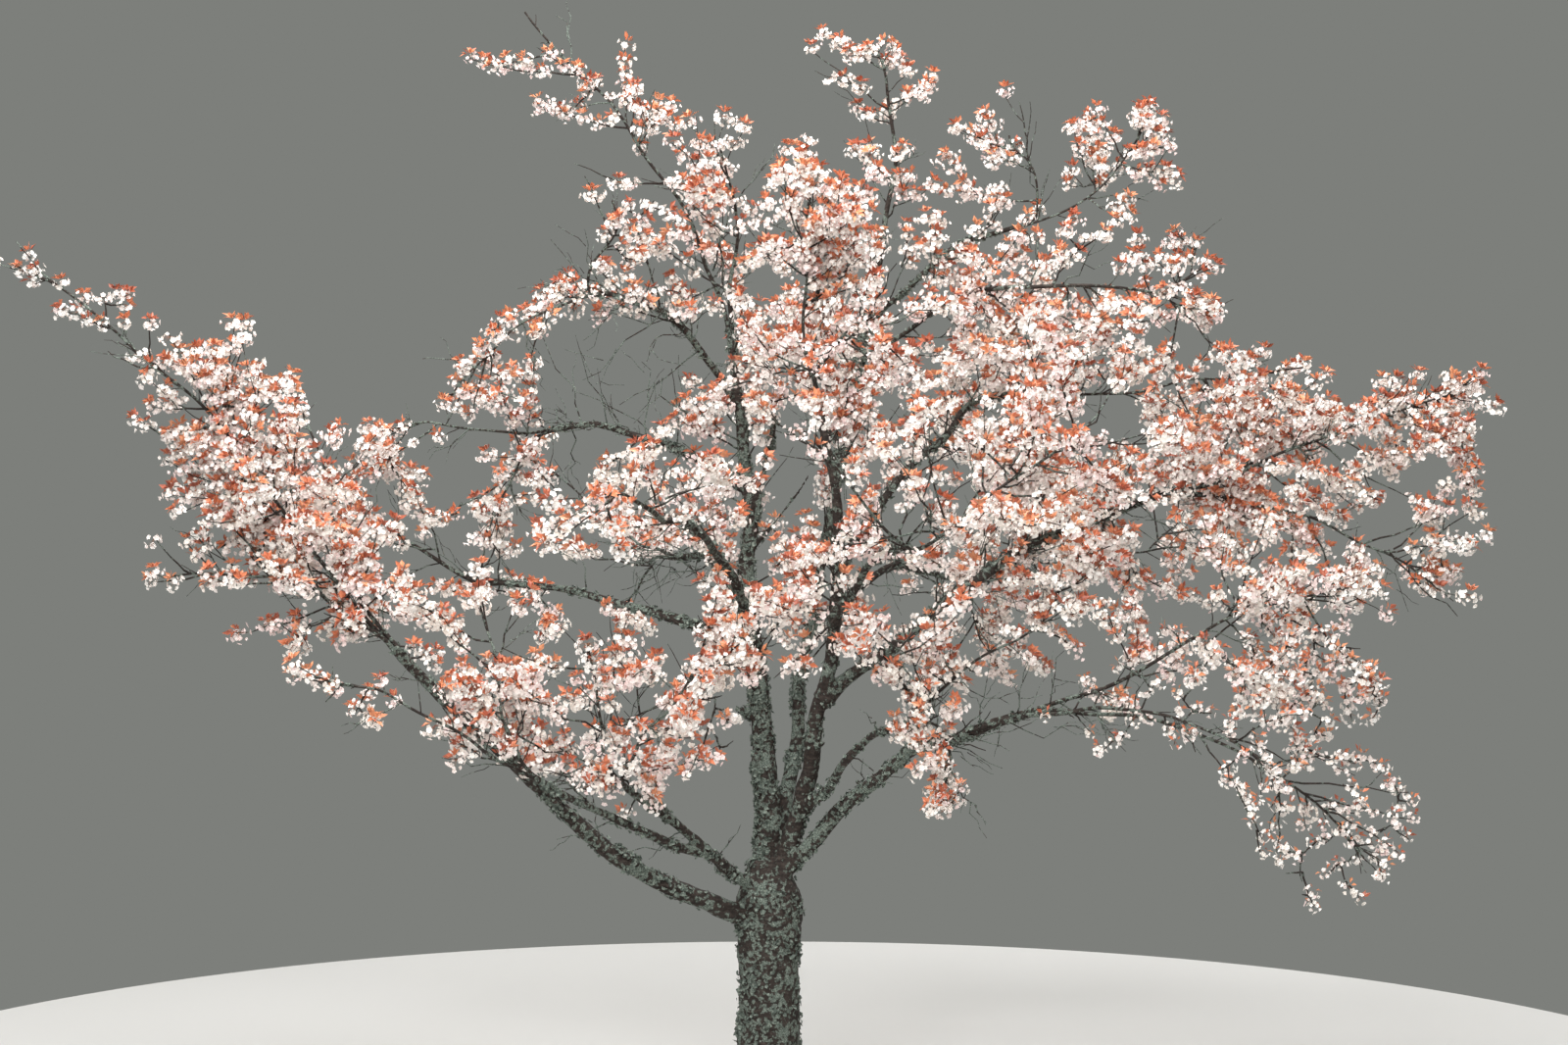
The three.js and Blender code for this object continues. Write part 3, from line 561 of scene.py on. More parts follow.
# more such ellipses, where the crown is only thinner: the last value is the share of clusters that stays
thinSpots = (
    (-3.82, 4.46, 0.16, 0.12, 0.5), (-3.7, 3.82, 0.15, 0.15, 0.6), (-2.78, 2.7, 0.16, 0.13, 0.5),
    (-2.39, 3.53, 0.13, 0.16, 0.5), (-1.27, 2.02, 0.18, 0.13, 0.45), (-1.42, 2.56, 0.15, 0.11, 0.55),
    (-0.88, 2.36, 0.16, 0.13, 0.6), (-1.27, 6.58, 0.12, 0.1, 0.6), (-0.25, 5.37, 0.17, 0.12, 0.6),
    (-0.3, 4.83, 0.22, 0.15, 0.55), (-0.55, 3.91, 0.18, 0.16, 0.65), (-0.45, 3.19, 0.1, 0.21, 0.45),
    (0.13, 4.16, 0.19, 0.15, 0.5), (0.55, 5.82, 0.15, 0.18, 0.45), (0.96, 4.74, 0.21, 0.16, 0.45),
    (1.02, 4.14, 0.17, 0.36, 0.65), (0.55, 3.53, 0.17, 0.22, 0.5), (0.09, 2.9, 0.27, 0.18, 0.6),
    (1.54, 5.32, 0.15, 0.13, 0.5), (2.46, 5.85, 0.12, 0.15, 0.5), (2.41, 4.93, 0.16, 0.11, 0.6),
    (2.75, 4.69, 0.15, 0.15, 0.6), (3.82, 3.82, 0.3, 0.11, 0.55), (1.73, 3.23, 0.16, 0.16, 0.55),
    (2.8, 3.09, 0.15, 0.15, 0.6), (4.21, 3.09, 0.11, 0.12, 0.5), (4.01, 2.75, 0.08, 0.08, 0.5),
    (-4.62, 5.27, 0.11, 0.08, 0.5), (1.54, 6.14, 0.12, 0.11, 0.5), (2.75, 2.53, 0.18, 0.12, 0.6),
    (-0.69, 5.08, 0.21, 0.16, 0.5), (-0.88, 2.08, 0.15, 0.12, 0.6), (-1.47, 3.57, 0.18, 0.12, 0.55),
    (-3.12, 3.09, 0.18, 0.12, 0.5), (1.05, 3.78, 0.15, 0.16, 0.6), (1.05, 3.17, 0.13, 0.24, 0.5),
    (0.25, 4.17, 0.12, 0.12, 0.4), (0.86, 4.64, 0.15, 0.15, 0.5), (2.8, 3.03, 0.15, 0.13, 0.45),
    (3.58, 2.94, 0.13, 0.12, 0.5), (3.87, 4.4, 0.15, 0.18, 0.55), (-3.89, 4.64, 0.16, 0.12, 0.5),
    (3.77, 1.54, 0.12, 0.18, 0.6), (-1.18, 2.02, 0.24, 0.15, 0.45), (0.35, 6.39, 0.15, 0.11, 0.5),
    (-0.35, 6.05, 0.12, 0.11, 0.5), (1.39, 6.07, 0.16, 0.11, 0.6), (1.98, 5.61, 0.18, 0.16, 0.5),
    (-3.16, 2.93, 0.17, 0.12, 0.5), (-1.71, 3.51, 0.15, 0.11, 0.6), (-3.56, 3.78, 0.15, 0.11, 0.6),
    (-3.7, 3.32, 0.16, 0.08, 0.5), (1.05, 2.52, 0.13, 0.11, 0.6), (2.9, 2.56, 0.13, 0.11, 0.6),
    (4.3, 3.43, 0.11, 0.12, 0.5), (4.11, 3.09, 0.12, 0.1, 0.6), (3.29, 1.33, 0.12, 0.12, 0.6),
    (-0.35, 6.05, 0.15, 0.12, 0.35), (0.09, 5.71, 0.11, 0.12, 0.5), (-0.21, 5.32, 0.18, 0.1, 0.5),
    (0.67, 5.9, 0.12, 0.15, 0.5), (1.3, 6.1, 0.16, 0.21, 0.5), (1.83, 5.8, 0.15, 0.11, 0.5),
    (2.07, 5.56, 0.13, 0.12, 0.5), (2.46, 5.9, 0.1, 0.16, 0.4), (0.86, 4.69, 0.15, 0.15, 0.35),
    (1.05, 3.96, 0.12, 0.24, 0.45), (1.07, 3.3, 0.11, 0.3, 0.45), (0.23, 4.2, 0.11, 0.12, 0.4),
    (-0.55, 4.45, 0.11, 0.11, 0.5), (-1.95, 4.28, 0.16, 0.1, 0.55), (-1.42, 4.69, 0.13, 0.13, 0.6),
    (-3.65, 4.35, 0.13, 0.16, 0.5), (-3.21, 4.64, 0.12, 0.13, 0.5), (-3.6, 3.38, 0.21, 0.12, 0.45),
    (-2.92, 3.04, 0.22, 0.11, 0.45), (-2.68, 2.6, 0.17, 0.1, 0.5), (-2.82, 3.86, 0.12, 0.12, 0.6),
    (-0.93, 2.41, 0.16, 0.15, 0.4), (-1.18, 2.07, 0.21, 0.12, 0.4), (-1.03, 2.9, 0.12, 0.15, 0.5),
    (-0.5, 3.19, 0.1, 0.18, 0.4), (0.04, 2.65, 0.18, 0.1, 0.5), (0.33, 2.94, 0.15, 0.15, 0.55),
    (0.96, 2.07, 0.16, 0.12, 0.6), (1.93, 2.51, 0.15, 0.11, 0.6), (2.7, 2.6, 0.15, 0.12, 0.6),
    (2.99, 2.12, 0.15, 0.18, 0.5), (3.58, 1.93, 0.16, 0.1, 0.5), (3.72, 1.49, 0.11, 0.13, 0.5),
    (3.67, 2.85, 0.13, 0.11, 0.5), (2.27, 4.06, 0.15, 0.12, 0.5), (2.51, 3.57, 0.21, 0.18, 0.55),
    (2.8, 4.93, 0.18, 0.08, 0.5), (3.96, 4.4, 0.21, 0.12, 0.55), (4.16, 3.57, 0.12, 0.16, 0.6),
)


# where a line of sight through each point meets the plane y = 0, as x and z
def onPlane(points):
    eye = np.array(cameraForm["place"])
    share = eye[1] / (eye[1] - points[:, 1:2])
    return (eye + (points - eye) * share)[:, [0, 2]]


def inEllipse(shown, x, z, halfWidth, halfHeight):
    return ((shown[:, 0] - x) / halfWidth) ** 2 + ((shown[:, 1] - z) / halfHeight) ** 2 < 1


def inOpening(points):
    shown = onPlane(points)
    found = np.zeros(len(points), bool)
    for ellipse in openings.values():
        found |= inEllipse(shown, *ellipse)
    return found


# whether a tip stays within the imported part's box and its own mass's heights, and out of the openings
reachForm = {"boxRoom": 0.04, "lookAt": (0.6, 1.0)}
lowCorner = np.array(cadBox[0]) + reachForm["boxRoom"]
highCorner = np.array(cadBox[1]) - reachForm["boxRoom"]


def withinReach(root, tip, mass):
    form = massForms.get(mass, {})
    lowest = form.get("floor", growthRule["lowestBlossom"])
    looked = np.array([mix(root, tip, share) for share in reachForm["lookAt"]])
    if inOpening(looked).any() and randoms[mass].random() > leftIn["openingTwigs"]:
        return False
    inBox = np.all(tip > lowCorner) and np.all(tip < highCorner)
    return inBox and lowest < tip[2] < form.get("ceiling", cadBox[1][2])


# how large the clusters on a twig are, and below which lift a mass's twigs hang
weepingForm = {"clusters": 0.66, "slenderClusters": 0.8, "lift": -0.2}


def clusterScale(massName, kind):
    if massName.startswith("weeping"):
        return weepingForm["clusters"]
    return weepingForm["slenderClusters"] if kind == "slender" else 1.0


def isWeeping(massName):
    lift = massForms.get(massName, {}).get("lift", growthRule["usualLift"])
    return lift < weepingForm["lift"] or massName.startswith("weeping")


# every spray: its mass or limb, root, tip, size and kind
sprays = []


def addSpray(mass, root, direction, length, size, kind):
    for share in growthRule["shortenings"]:
        tip = root + direction * length * share
        if not withinReach(root, tip, mass) or hitsWood(root, tip):
            continue
        sprays.append({"mass": mass, "root": root, "tip": tip, "size": size * share, "kind": kind})
        return tip
    return None


for number, (name, form) in enumerate(massForms.items()):
    dressRandom = randoms[name]
    line = stems[name]["line"]
    heading = line.headingAt(1.0)
    start = line.pointAt(1 - growthRule["tipStart"] / line.length)
    slimFrom = form.get("slimFrom", 1.0)
    endKind = "slender" if slimFrom < 1 else "tip"
    addSpray(name, start, heading, growthRule["tipLength"], growthRule["tipSize"], endKind)
    kept = math.sqrt(form.get("bloom", 1.0))
    for twig in growTwigs(form, line, seededRandom(growthRule["firstSeed"] + number)):
        chance = kept if twig["share"] > form.get("bareTo", 0.0) else leftIn["bareTwigs"]
        if dressRandom.random() > chance:
            continue
        slender = twig["share"] > slimFrom
        kind = "slender" if slender else "twig"
        tip = addSpray(name, twig["root"], twig["direction"], twig["length"], twig["size"], kind)
        if tip is None or slender:
            continue
        for side in twig["sides"]:
            if dressRandom.random() > kept:
                continue
            fork = mix(twig["root"], tip, side["spot"])
            size = twig["size"] * growthRule["sideSize"]
            addSpray(name, fork, side["direction"], side["length"], size, "side")


# places and headings of side twigs that turn round a line by the golden angle
roundForm = {"endGap": 0.05, "jitter": 0.6, "stray": 30, "forwards": (0.4, 1.0)}


def roundLine(line, first, last, spacing, rise, random):
    turn = random.uniform(0, 360)
    found = []
    for place in np.arange(first * line.length, last * line.length - roundForm["endGap"], spacing):
        share = (place + random.uniform(0, roundForm["jitter"]) * spacing) / line.length
        heading = line.headingAt(share)
        side = levelAcross(heading)
        over = np.cross(side, heading)
        turn += growthRule["goldenAngle"] + random.uniform(-roundForm["stray"], roundForm["stray"])
        around = math.radians(turn)
        away = side * math.cos(around) + over * math.sin(around)
        forwards = heading * random.uniform(*roundForm["forwards"])
        found.append((line.pointAt(share), unit(away + forwards + up * rise)))
    return found


# more sprays where the crown is thickest: on some masses' stems and on the outer parts of some boughs
extraForm = {
    "massLength": (0.6, 1.0),  # as a share of the mass's spread
    "boughLength": (0.34, 0.62),
    "size": (0.75, 0.95),
    "boughs": {  # count, share of the bough they start at, rise
        "bough_upper_right": (7, 0.3, 0.2),
        "bough_right_upper": (9, 0.35, 0.3),
        "bough_right_main": (12, 0.4, 0.4),
        "bough_top_right": (2, 0.35, 0.1),
        "bough_front_right": (3, 0.75, 0.3),
        "bough_arch": (5, 0.35, 0.5),
        "bough_back_middle": (1, 0.5, 0.4),
        "bough_back_right": (3, 0.55, 0.4),
        "bough_back_left": (3, 0.2, 0.4),
        "bough_front_left": (4, 0.3, 0.3),
        "stem_left": (9, 0.42, 0.2),
        "stem_back": (8, 0.35, 0.2),
        "stem_right": (9, 0.48, 0.2),
        "bough_left_low": (1, 0.8, 0.5),
        "bough_left_inner": (3, 0.75, 0.4),
        "bough_left_under": (2, 0.6, 0.4),
        "bough_right_low": (1, 0.8, 0.5),
    },
}


def addExtras(name, count, first, rise, lengths):
    line = lineOf(name)
    dressRandom = randoms[name]
    last = massForms.get(name, {}).get("slimFrom", 1.0)
    spacing = line.length * (last - first) / count
    for start, direction in roundLine(line, first, last, spacing, rise, dressRandom):
        length = dressRandom.uniform(*lengths)
        kind = "slender" if isWeeping(name) else "side"
        addSpray(name, start, direction, length, dressRandom.uniform(*extraForm["size"]), kind)


for name, form in massForms.items():
    if "extra" in form:
        reach = tuple(share * form["spread"] for share in extraForm["massLength"])
        addExtras(name, *form["extra"], reach)
for name, (count, first, rise) in extraForm["boughs"].items():
    addExtras(name, count, first, rise, extraForm["boughLength"])

# single twigs where the crown has a tuft of its own: by mass or limb, the share they start at and their tip
loneTwigs = {
    "slender": {
        "top_left": ((0.6, (-1.43, -0.1, 6.19)), (0.78, (-1.85, -0.2, 6.42)), (0.42, (-1.21, 0.0, 5.8))),
        "top_middle": ((0.72, (1.02, 0.5, 6.36)), (0.88, (0.8, 0.6, 6.66))),
        "weeping_outer": (
            (0.85, (3.62, -1.2, 1.68)), (0.7, (2.95, -1.0, 1.6)), (0.78, (3.75, -1.0, 1.85))),
        "front_inner": ((0.2, (-0.27, -1.5, 2.33)),),
    },
    "side": {
        "top_left": ((0.55, (-0.7, 0.0, 6.11)),),
        "top_middle": ((0.7, (0.24, 0.5, 6.6)), (0.45, (0.52, 0.4, 5.95)), (0.3, (0.9, 0.7, 5.8))),
        "top_right": ((0.4, (2.17, 0.7, 5.58)),),
        "top_right_inner": ((0.3, (1.15, 0.9, 5.75)),),
        "right_high": ((0.7, (2.36, 0.7, 5.43)), (0.85, (2.61, 0.7, 5.4))),
        "centre_high": ((0.85, (0.22, -0.6, 5.88)), (0.5, (0.37, -0.6, 5.12))),
        "centre_front": ((0.6, (1.05, -1.2, 4.55)),),
        "centre_right": ((0.5, (1.55, -1.2, 3.88)),),
        "centre_low": ((0.9, (0.08, -1.9, 3.12)),),
        "arch": ((0.1, (-1.33, -0.4, 4.98)),),
        "left_hang": ((0.35, (-1.72, 0.4, 4.42)), (0.25, (-1.5, 0.4, 4.6)), (0.6, (-1.55, 0.4, 4.02))),
        "left_far": (
            (0.5, (-3.09, -1.1, 4.73)), (0.45, (-2.98, -0.9, 4.42)), (0.55, (-3.6, -1.0, 4.25)),
            (0.48, (-3.29, -1.3, 4.5)), (0.4, (-2.81, -1.1, 4.25)), (0.6, (-3.75, -1.2, 4.62)),
            (0.54, (-3.45, -1.2, 4.66))),
        "left_crown": ((0.2, (-2.5, -0.9, 3.2)), (0.35, (-2.45, -1.2, 3.42))),
        "left_under": ((0.12, (-1.8, -1.6, 2.4)),),
        "left_inner": ((0.08, (-1.55, -1.0, 2.45)), (0.05, (-1.5, -1.7, 2.3))),
        "front_inner": ((0.9, (-0.08, -2.1, 3.0)),),
        "right_far": (
            (0.92, (4.34, 0.3, 3.97)), (0.85, (4.1, 0.2, 4.12)), (0.8, (3.97, 0.3, 3.98)),
            (0.95, (4.4, 0.3, 4.12)), (0.3, (2.95, 0.1, 3.78))),
        "right_drooping": ((0.9, (4.41, 0.2, 3.66)), (0.5, (3.32, 0.1, 3.5))),
        "weeping_outer": ((0.72, (3.7, -1.1, 2.02)), (0.66, (3.45, -0.9, 2.2))),
        "stem_left": (
            (0.8, (-0.5, -0.2, 4.35)), (0.72, (-0.55, 0.1, 4.08)), (0.44, (-0.16, -0.35, 2.98)),
            (0.42, (-0.45, -0.1, 2.85))),
        "bough_arch": ((0.8, (-1.1, -0.4, 5.2)),),
        "bough_left_upper": ((0.35, (-0.7, 0.2, 3.72)), (0.5, (-0.88, 0.4, 3.75))),
        "bough_top_right": ((0.5, (1.29, 0.8, 5.31)),),
        "bough_upper_right": ((0.6, (1.32, -0.4, 4.6)), (0.4, (1.15, -0.2, 4.5))),
        "bough_right_main": (
            (0.8, (1.85, -0.2, 3.75)), (0.75, (1.91, 0.2, 3.3)), (0.95, (2.15, 0.0, 3.22))),
    },
}

# tufts in the places where they are seen from the best side, as x and z in the plane y = 0: each is one
# twig to that line of sight
tufts = {
    "slender": {
        "top_left": ((-1.42, 6.14), (-1.28, 6.1), (-1.13, 6.25), (-1.05, 6.3), (-1.73, 6.42),
            (-0.88, 6.29), (-0.84, 6.23), (-0.64, 6.1), (-0.69, 6.16), (-0.59, 6.05)),
        "top_middle": ((0.33, 6.62), (0.72, 6.56), (0.52, 6.16), (0.99, 6.34), (0.86, 6.2), (0.91, 6.26),
            (0.76, 6.48), (0.72, 6.41), (0.81, 6.45), (0.63, 6.51)),
        "top_right_inner": ((1.44, 5.85), (1.51, 5.9), (1.37, 5.81), (1.54, 5.79)),
        "left_far": ((-4.12, 4.99), (-3.95, 4.99), (-3.84, 4.83), (-3.92, 4.23), (-3.76, 4.11),
            (-3.66, 4.03), (-3.45, 4.59), (-3.52, 4.68), (-3.38, 4.51), (-3.7, 4.08), (-3.64, 4.14),
            (-3.73, 4.14), (-3.44, 4.59), (-3.39, 4.64), (-3.99, 4.93), (-4.04, 4.98), (-3.47, 4.51),
            (-3.42, 4.43), (-3.36, 4.48), (-3.38, 4.36), (-3.31, 4.4), (-3.33, 4.28), (-3.26, 4.33),
            (-3.3, 4.19), (-3.22, 4.24), (-3.25, 4.12), (-3.18, 4.16), (-3.37, 4.2), (-3.2, 4.05),
            (-3.31, 4.08), (-3.14, 4.01), (-3.42, 4.31), (-3.27, 3.99)),
        "left_outer": ((-3.81, 3.49), (-3.61, 3.46), (-3.18, 3.54), (-3.12, 3.46), (-3.25, 3.46),
            (-3.07, 3.42), (-3.21, 3.61), (-3.01, 3.51), (-3.14, 3.69), (-3.21, 3.51), (-3.13, 3.51),
            (-3.16, 3.42), (-3.16, 3.57), (-3.25, 3.42), (-3.07, 3.51), (-3.28, 3.54), (-3.01, 3.44),
            (-3.18, 3.66), (-3.12, 3.6), (-3.05, 3.66), (-3.15, 3.54), (-3.09, 3.5), (-3.02, 3.56),
            (-3.21, 3.59), (-3.13, 3.72)),
        "left_under": ((-2.95, 2.63), (-2.79, 2.59), (-2.67, 2.55), (-2.51, 2.52), (-2.75, 2.47),
            (-2.57, 2.4), (-2.43, 2.34)),
        "left_inner": ((-1.56, 2.2), (-1.67, 2.13), (-1.46, 2.08), (-1.71, 2.26), (-1.79, 2.31),
            (-1.62, 2.25), (-1.85, 2.51), (-1.92, 2.57), (-1.78, 2.47), (-1.82, 2.58), (-1.96, 2.63),
            (-1.88, 2.66), (-1.73, 2.63), (-1.85, 2.51), (-1.89, 2.43), (-1.79, 2.54), (-1.73, 2.78),
            (-1.68, 2.73), (-1.77, 2.71), (-1.81, 2.4), (-1.81, 2.41), (-1.76, 2.35), (-1.85, 2.35),
            (-1.73, 2.42)),
        "bough_arch": ((-0.76, 5.02), (-0.65, 5.04), (-0.56, 5.0), (-0.49, 4.86), (-0.87, 5.02),
            (-0.96, 5.04), (-1.07, 5.0), (-1.16, 5.04), (-1.18, 4.97)),
        "arch": ((-1.27, 5.08), (-1.32, 4.96), (-1.41, 5.0), (-1.5, 4.9), (-1.58, 4.82), (-1.68, 4.82),
            (-1.7, 4.74), (-1.6, 4.76), (-1.77, 4.65), (-1.82, 4.6), (-1.88, 4.51), (-1.93, 4.46),
            (-1.99, 4.37), (-1.85, 4.39), (-1.81, 4.34), (-1.7, 4.58), (-1.48, 4.61), (-1.55, 4.51),
            (-1.63, 4.46), (-1.73, 4.48), (-1.67, 4.34), (-1.56, 4.34), (-1.44, 4.72), (-1.37, 4.86),
            (-1.22, 4.88), (-1.79, 4.69), (-1.73, 4.77)),
        "arch_top": ((-1.03, 5.17), (-0.94, 5.3), (-0.87, 5.38), (-0.79, 5.45), (-0.79, 5.21),
            (-0.88, 5.19), (-0.64, 5.51), (-0.72, 5.57), (-0.58, 5.44), (-0.85, 5.54), (-0.98, 5.42),
            (-1.04, 5.36), (-0.92, 5.46)),
        "left_hang": ((-1.41, 4.29), (-1.46, 4.2), (-1.6, 4.2), (-1.56, 4.08), (-1.46, 4.08),
            (-1.63, 3.97), (-1.52, 3.96), (-1.65, 3.87), (-1.55, 3.85), (-1.41, 3.85), (-1.46, 3.75),
            (-1.58, 3.71), (-1.32, 3.77), (-1.7, 3.68), (-1.43, 3.96)),
        "left_upper": ((-1.82, 3.65), (-1.95, 3.61), (-2.05, 3.59), (-2.0, 3.66), (-2.1, 3.63),
            (-2.44, 3.86), (-2.51, 3.9)),
        "left_middle": ((-1.77, 3.56), (-1.67, 3.47), (-1.9, 3.19), (-1.99, 3.14), (-1.81, 3.15),
            (-1.84, 3.23), (-1.98, 3.16), (-1.88, 3.13), (-1.78, 3.19), (-1.7, 3.14), (-1.61, 3.15)),
        "bough_left_middle": ((-1.39, 2.99), (-1.37, 2.9), (-1.42, 2.84), (-1.44, 3.08), (-1.37, 2.94),
            (-1.33, 3.0), (-1.41, 2.9)),
        "front_left": ((-1.03, 1.96), (-1.14, 2.02), (-0.88, 1.77)),
        "front_inner": ((-0.4, 2.11), (-0.51, 2.02), (-0.32, 2.22), (-0.39, 2.3), (-0.35, 2.12),
            (-0.29, 2.19), (-0.3, 2.51), (-0.25, 2.43), (-0.34, 2.4), (-0.27, 2.33), (-0.23, 2.23),
            (-0.31, 2.17), (-0.37, 2.48), (-0.21, 2.36)),
        "front_hang": ((0.89, 2.37), (0.97, 2.32), (1.09, 2.41), (0.87, 2.25), (0.97, 2.22), (1.09, 2.29),
            (1.05, 2.17), (0.95, 2.19), (0.95, 2.08), (1.05, 2.1), (1.1, 2.09), (0.92, 2.05),
            (1.06, 2.0), (1.1, 1.96), (1.03, 1.88), (0.99, 1.83), (1.09, 1.86), (1.17, 1.89),
            (1.09, 1.79), (1.19, 1.93), (1.01, 1.79), (1.02, 2.26), (0.92, 2.3), (1.13, 1.84)),
        "centre_low": ((0.7, 2.69), (0.77, 2.57), (0.87, 2.74), (0.74, 2.63), (0.83, 2.47), (0.79, 2.66),
            (0.67, 2.63), (0.87, 2.57), (0.57, 2.74), (0.51, 2.8), (0.62, 2.69)),
        "front_low": ((0.97, 2.5), (1.07, 2.61), (1.22, 2.7), (1.27, 2.66), (1.1, 2.71), (1.02, 2.82),
            (1.15, 2.63), (0.98, 2.66), (0.92, 2.43), (1.83, 2.85), (1.76, 2.9), (1.9, 2.8)),
        "centre_high": ((0.33, 5.22), (0.39, 5.14), (0.28, 5.3), (0.3, 5.25), (0.38, 5.19), (0.34, 5.09),
            (0.25, 5.16), (0.42, 5.11), (0.32, 5.02), (0.47, 5.13), (0.44, 5.05), (0.5, 5.2),
            (0.52, 5.05), (0.38, 4.93), (0.33, 4.98), (0.42, 4.88)),
        "weeping_inner": ((1.72, 2.37), (1.88, 2.37), (1.98, 2.28), (2.05, 2.16), (2.16, 2.22),
            (2.26, 2.37), (2.34, 2.36), (2.45, 2.28), (2.63, 2.16), (2.73, 2.4), (2.65, 2.43),
            (2.79, 2.05), (2.92, 2.13), (2.84, 1.97), (2.92, 1.87), (2.96, 1.78), (3.1, 1.82),
            (3.19, 1.82), (3.04, 1.62), (3.04, 1.51), (3.04, 2.05), (3.15, 2.03), (3.19, 1.91),
            (3.1, 1.93), (1.96, 2.54), (2.08, 2.56), (2.21, 2.48), (2.15, 2.71), (2.27, 2.65),
            (2.39, 2.6), (2.53, 2.51), (2.63, 2.57)),
        "weeping_outer": ((3.33, 2.09), (3.48, 2.11), (3.62, 2.09), (3.75, 2.09), (3.85, 2.01),
            (3.9, 1.93), (3.98, 1.85), (3.33, 1.78), (3.42, 1.82), (3.52, 1.85), (3.62, 1.78),
            (3.35, 1.62), (3.42, 1.59), (3.52, 1.66), (3.48, 1.45), (3.44, 1.39), (3.62, 1.51),
            (3.73, 1.59), (3.81, 1.7), (3.88, 1.72), (3.95, 1.62), (3.81, 1.47), (3.79, 1.37),
            (3.58, 1.31), (3.64, 1.26), (3.29, 1.36), (3.29, 1.28), (3.36, 1.2), (3.15, 1.54),
            (3.19, 1.41), (3.27, 1.51), (3.24, 2.22), (3.29, 2.22), (3.36, 2.17), (3.21, 2.17),
            (3.24, 2.25), (3.29, 2.18)),
        "right_far": ((4.33, 3.96), (4.27, 3.84), (4.18, 4.07), (4.36, 3.77), (4.02, 4.01), (4.1, 4.19),
            (4.33, 3.66), (3.67, 4.16), (3.75, 4.2), (3.6, 4.11), (4.4, 4.53), (4.35, 4.46),
            (3.29, 3.48), (3.36, 3.42), (3.21, 3.53), (3.39, 3.51), (2.41, 3.91), (2.34, 3.96),
            (2.48, 3.88), (2.39, 3.84), (4.3, 4.01), (4.27, 3.89), (4.33, 4.05), (3.24, 4.11),
            (3.31, 4.07), (3.18, 4.16), (3.38, 3.48), (3.33, 3.53), (3.43, 3.43), (3.3, 3.44),
            (2.9, 3.78), (2.84, 3.82), (2.95, 3.73), (2.88, 3.71), (3.24, 4.08), (3.29, 4.03),
            (2.8, 4.2), (2.85, 4.12), (2.78, 4.03), (2.82, 3.95), (2.8, 3.86), (2.85, 3.78),
            (2.87, 4.2), (2.75, 4.13), (2.88, 3.86), (3.24, 4.06), (3.19, 4.01), (3.29, 4.11),
            (4.35, 3.86), (4.3, 3.82), (4.38, 3.91)),
        "right_drooping": ((3.96, 3.28), (4.04, 3.16), (4.24, 3.28), (4.1, 3.33), (4.15, 3.42),
            (2.07, 3.62), (2.15, 3.66), (3.24, 3.4), (1.95, 3.6), (2.1, 3.59), (3.24, 3.04),
            (3.31, 2.99), (3.16, 3.08), (3.21, 2.96), (2.07, 3.67), (2.02, 3.72), (2.12, 3.62),
            (2.22, 3.19), (2.27, 3.23), (2.17, 3.15), (1.93, 3.57), (1.88, 3.62), (1.98, 3.53)),
        "right_low": ((3.3, 2.63), (3.43, 2.63), (3.54, 2.54), (3.67, 2.57), (3.79, 2.46), (3.6, 2.35),
            (3.42, 2.45), (3.29, 2.47), (3.16, 2.56), (3.24, 2.3), (3.36, 2.25), (3.12, 2.33),
            (3.05, 2.46), (3.24, 2.79), (3.36, 2.74), (3.48, 2.25), (2.93, 2.57), (2.88, 2.42),
            (2.81, 2.63), (3.72, 2.36), (3.58, 2.75), (3.65, 2.8), (3.51, 2.69), (2.51, 2.9),
            (2.58, 2.84), (2.45, 2.93), (3.72, 2.63), (3.62, 2.5), (3.75, 2.5), (3.12, 2.76),
            (3.21, 2.86), (3.41, 2.9), (3.49, 2.81), (3.67, 2.7), (3.58, 2.57), (3.36, 2.54),
            (3.21, 2.64), (3.05, 2.62), (2.99, 2.74), (3.45, 2.35), (3.18, 2.4), (3.32, 2.39),
            (3.67, 2.56), (3.55, 2.45), (3.24, 3.02), (3.29, 3.08), (3.19, 2.97), (3.27, 2.96),
            (2.88, 2.93), (2.96, 2.84), (3.04, 2.93), (3.12, 2.87), (2.93, 2.69), (3.02, 2.57),
            (3.12, 2.5), (3.22, 2.45), (3.3, 2.53), (3.39, 2.63), (3.3, 2.71), (3.19, 2.79),
            (3.09, 2.7), (3.01, 2.76), (3.36, 2.81), (3.43, 2.73), (3.33, 2.92), (3.22, 2.93),
            (3.14, 2.98), (3.05, 3.03), (2.97, 3.0), (2.88, 3.04), (3.72, 2.51), (3.77, 2.57)),
        "right_high": ((2.56, 5.32), (2.6, 5.23), (2.51, 5.4), (2.64, 5.3)),
        "upper_right": ((2.07, 4.69), (2.15, 4.62), (2.01, 4.75), (2.12, 4.78), (2.02, 4.69), (2.07, 4.74),
            (1.98, 4.64)),
        "bough_right_main": ((1.69, 3.96), (1.6, 3.9), (1.77, 4.01), (1.83, 3.93), (1.39, 3.23),
            (1.47, 3.19), (1.33, 3.17), (1.49, 3.28), (1.55, 3.22), (1.43, 3.23), (1.52, 3.36),
            (1.64, 3.96), (1.56, 4.01), (1.71, 3.9), (1.66, 4.05), (1.64, 3.96), (1.69, 3.91),
            (1.49, 3.28), (1.44, 3.33), (1.54, 3.23), (1.59, 4.0), (1.49, 3.38), (1.54, 3.43),
            (1.44, 3.34), (1.52, 3.31), (1.59, 3.96), (1.54, 3.91), (1.64, 4.01)),
        "stem_left": ((0.04, 3.57), (0.09, 3.51), (-0.21, 4.5), (-0.25, 4.57), (-0.64, 3.57),
            (-0.58, 3.62), (-0.69, 3.54), (-0.21, 5.1), (-0.25, 5.05), (-0.69, 3.57), (-0.74, 3.62),
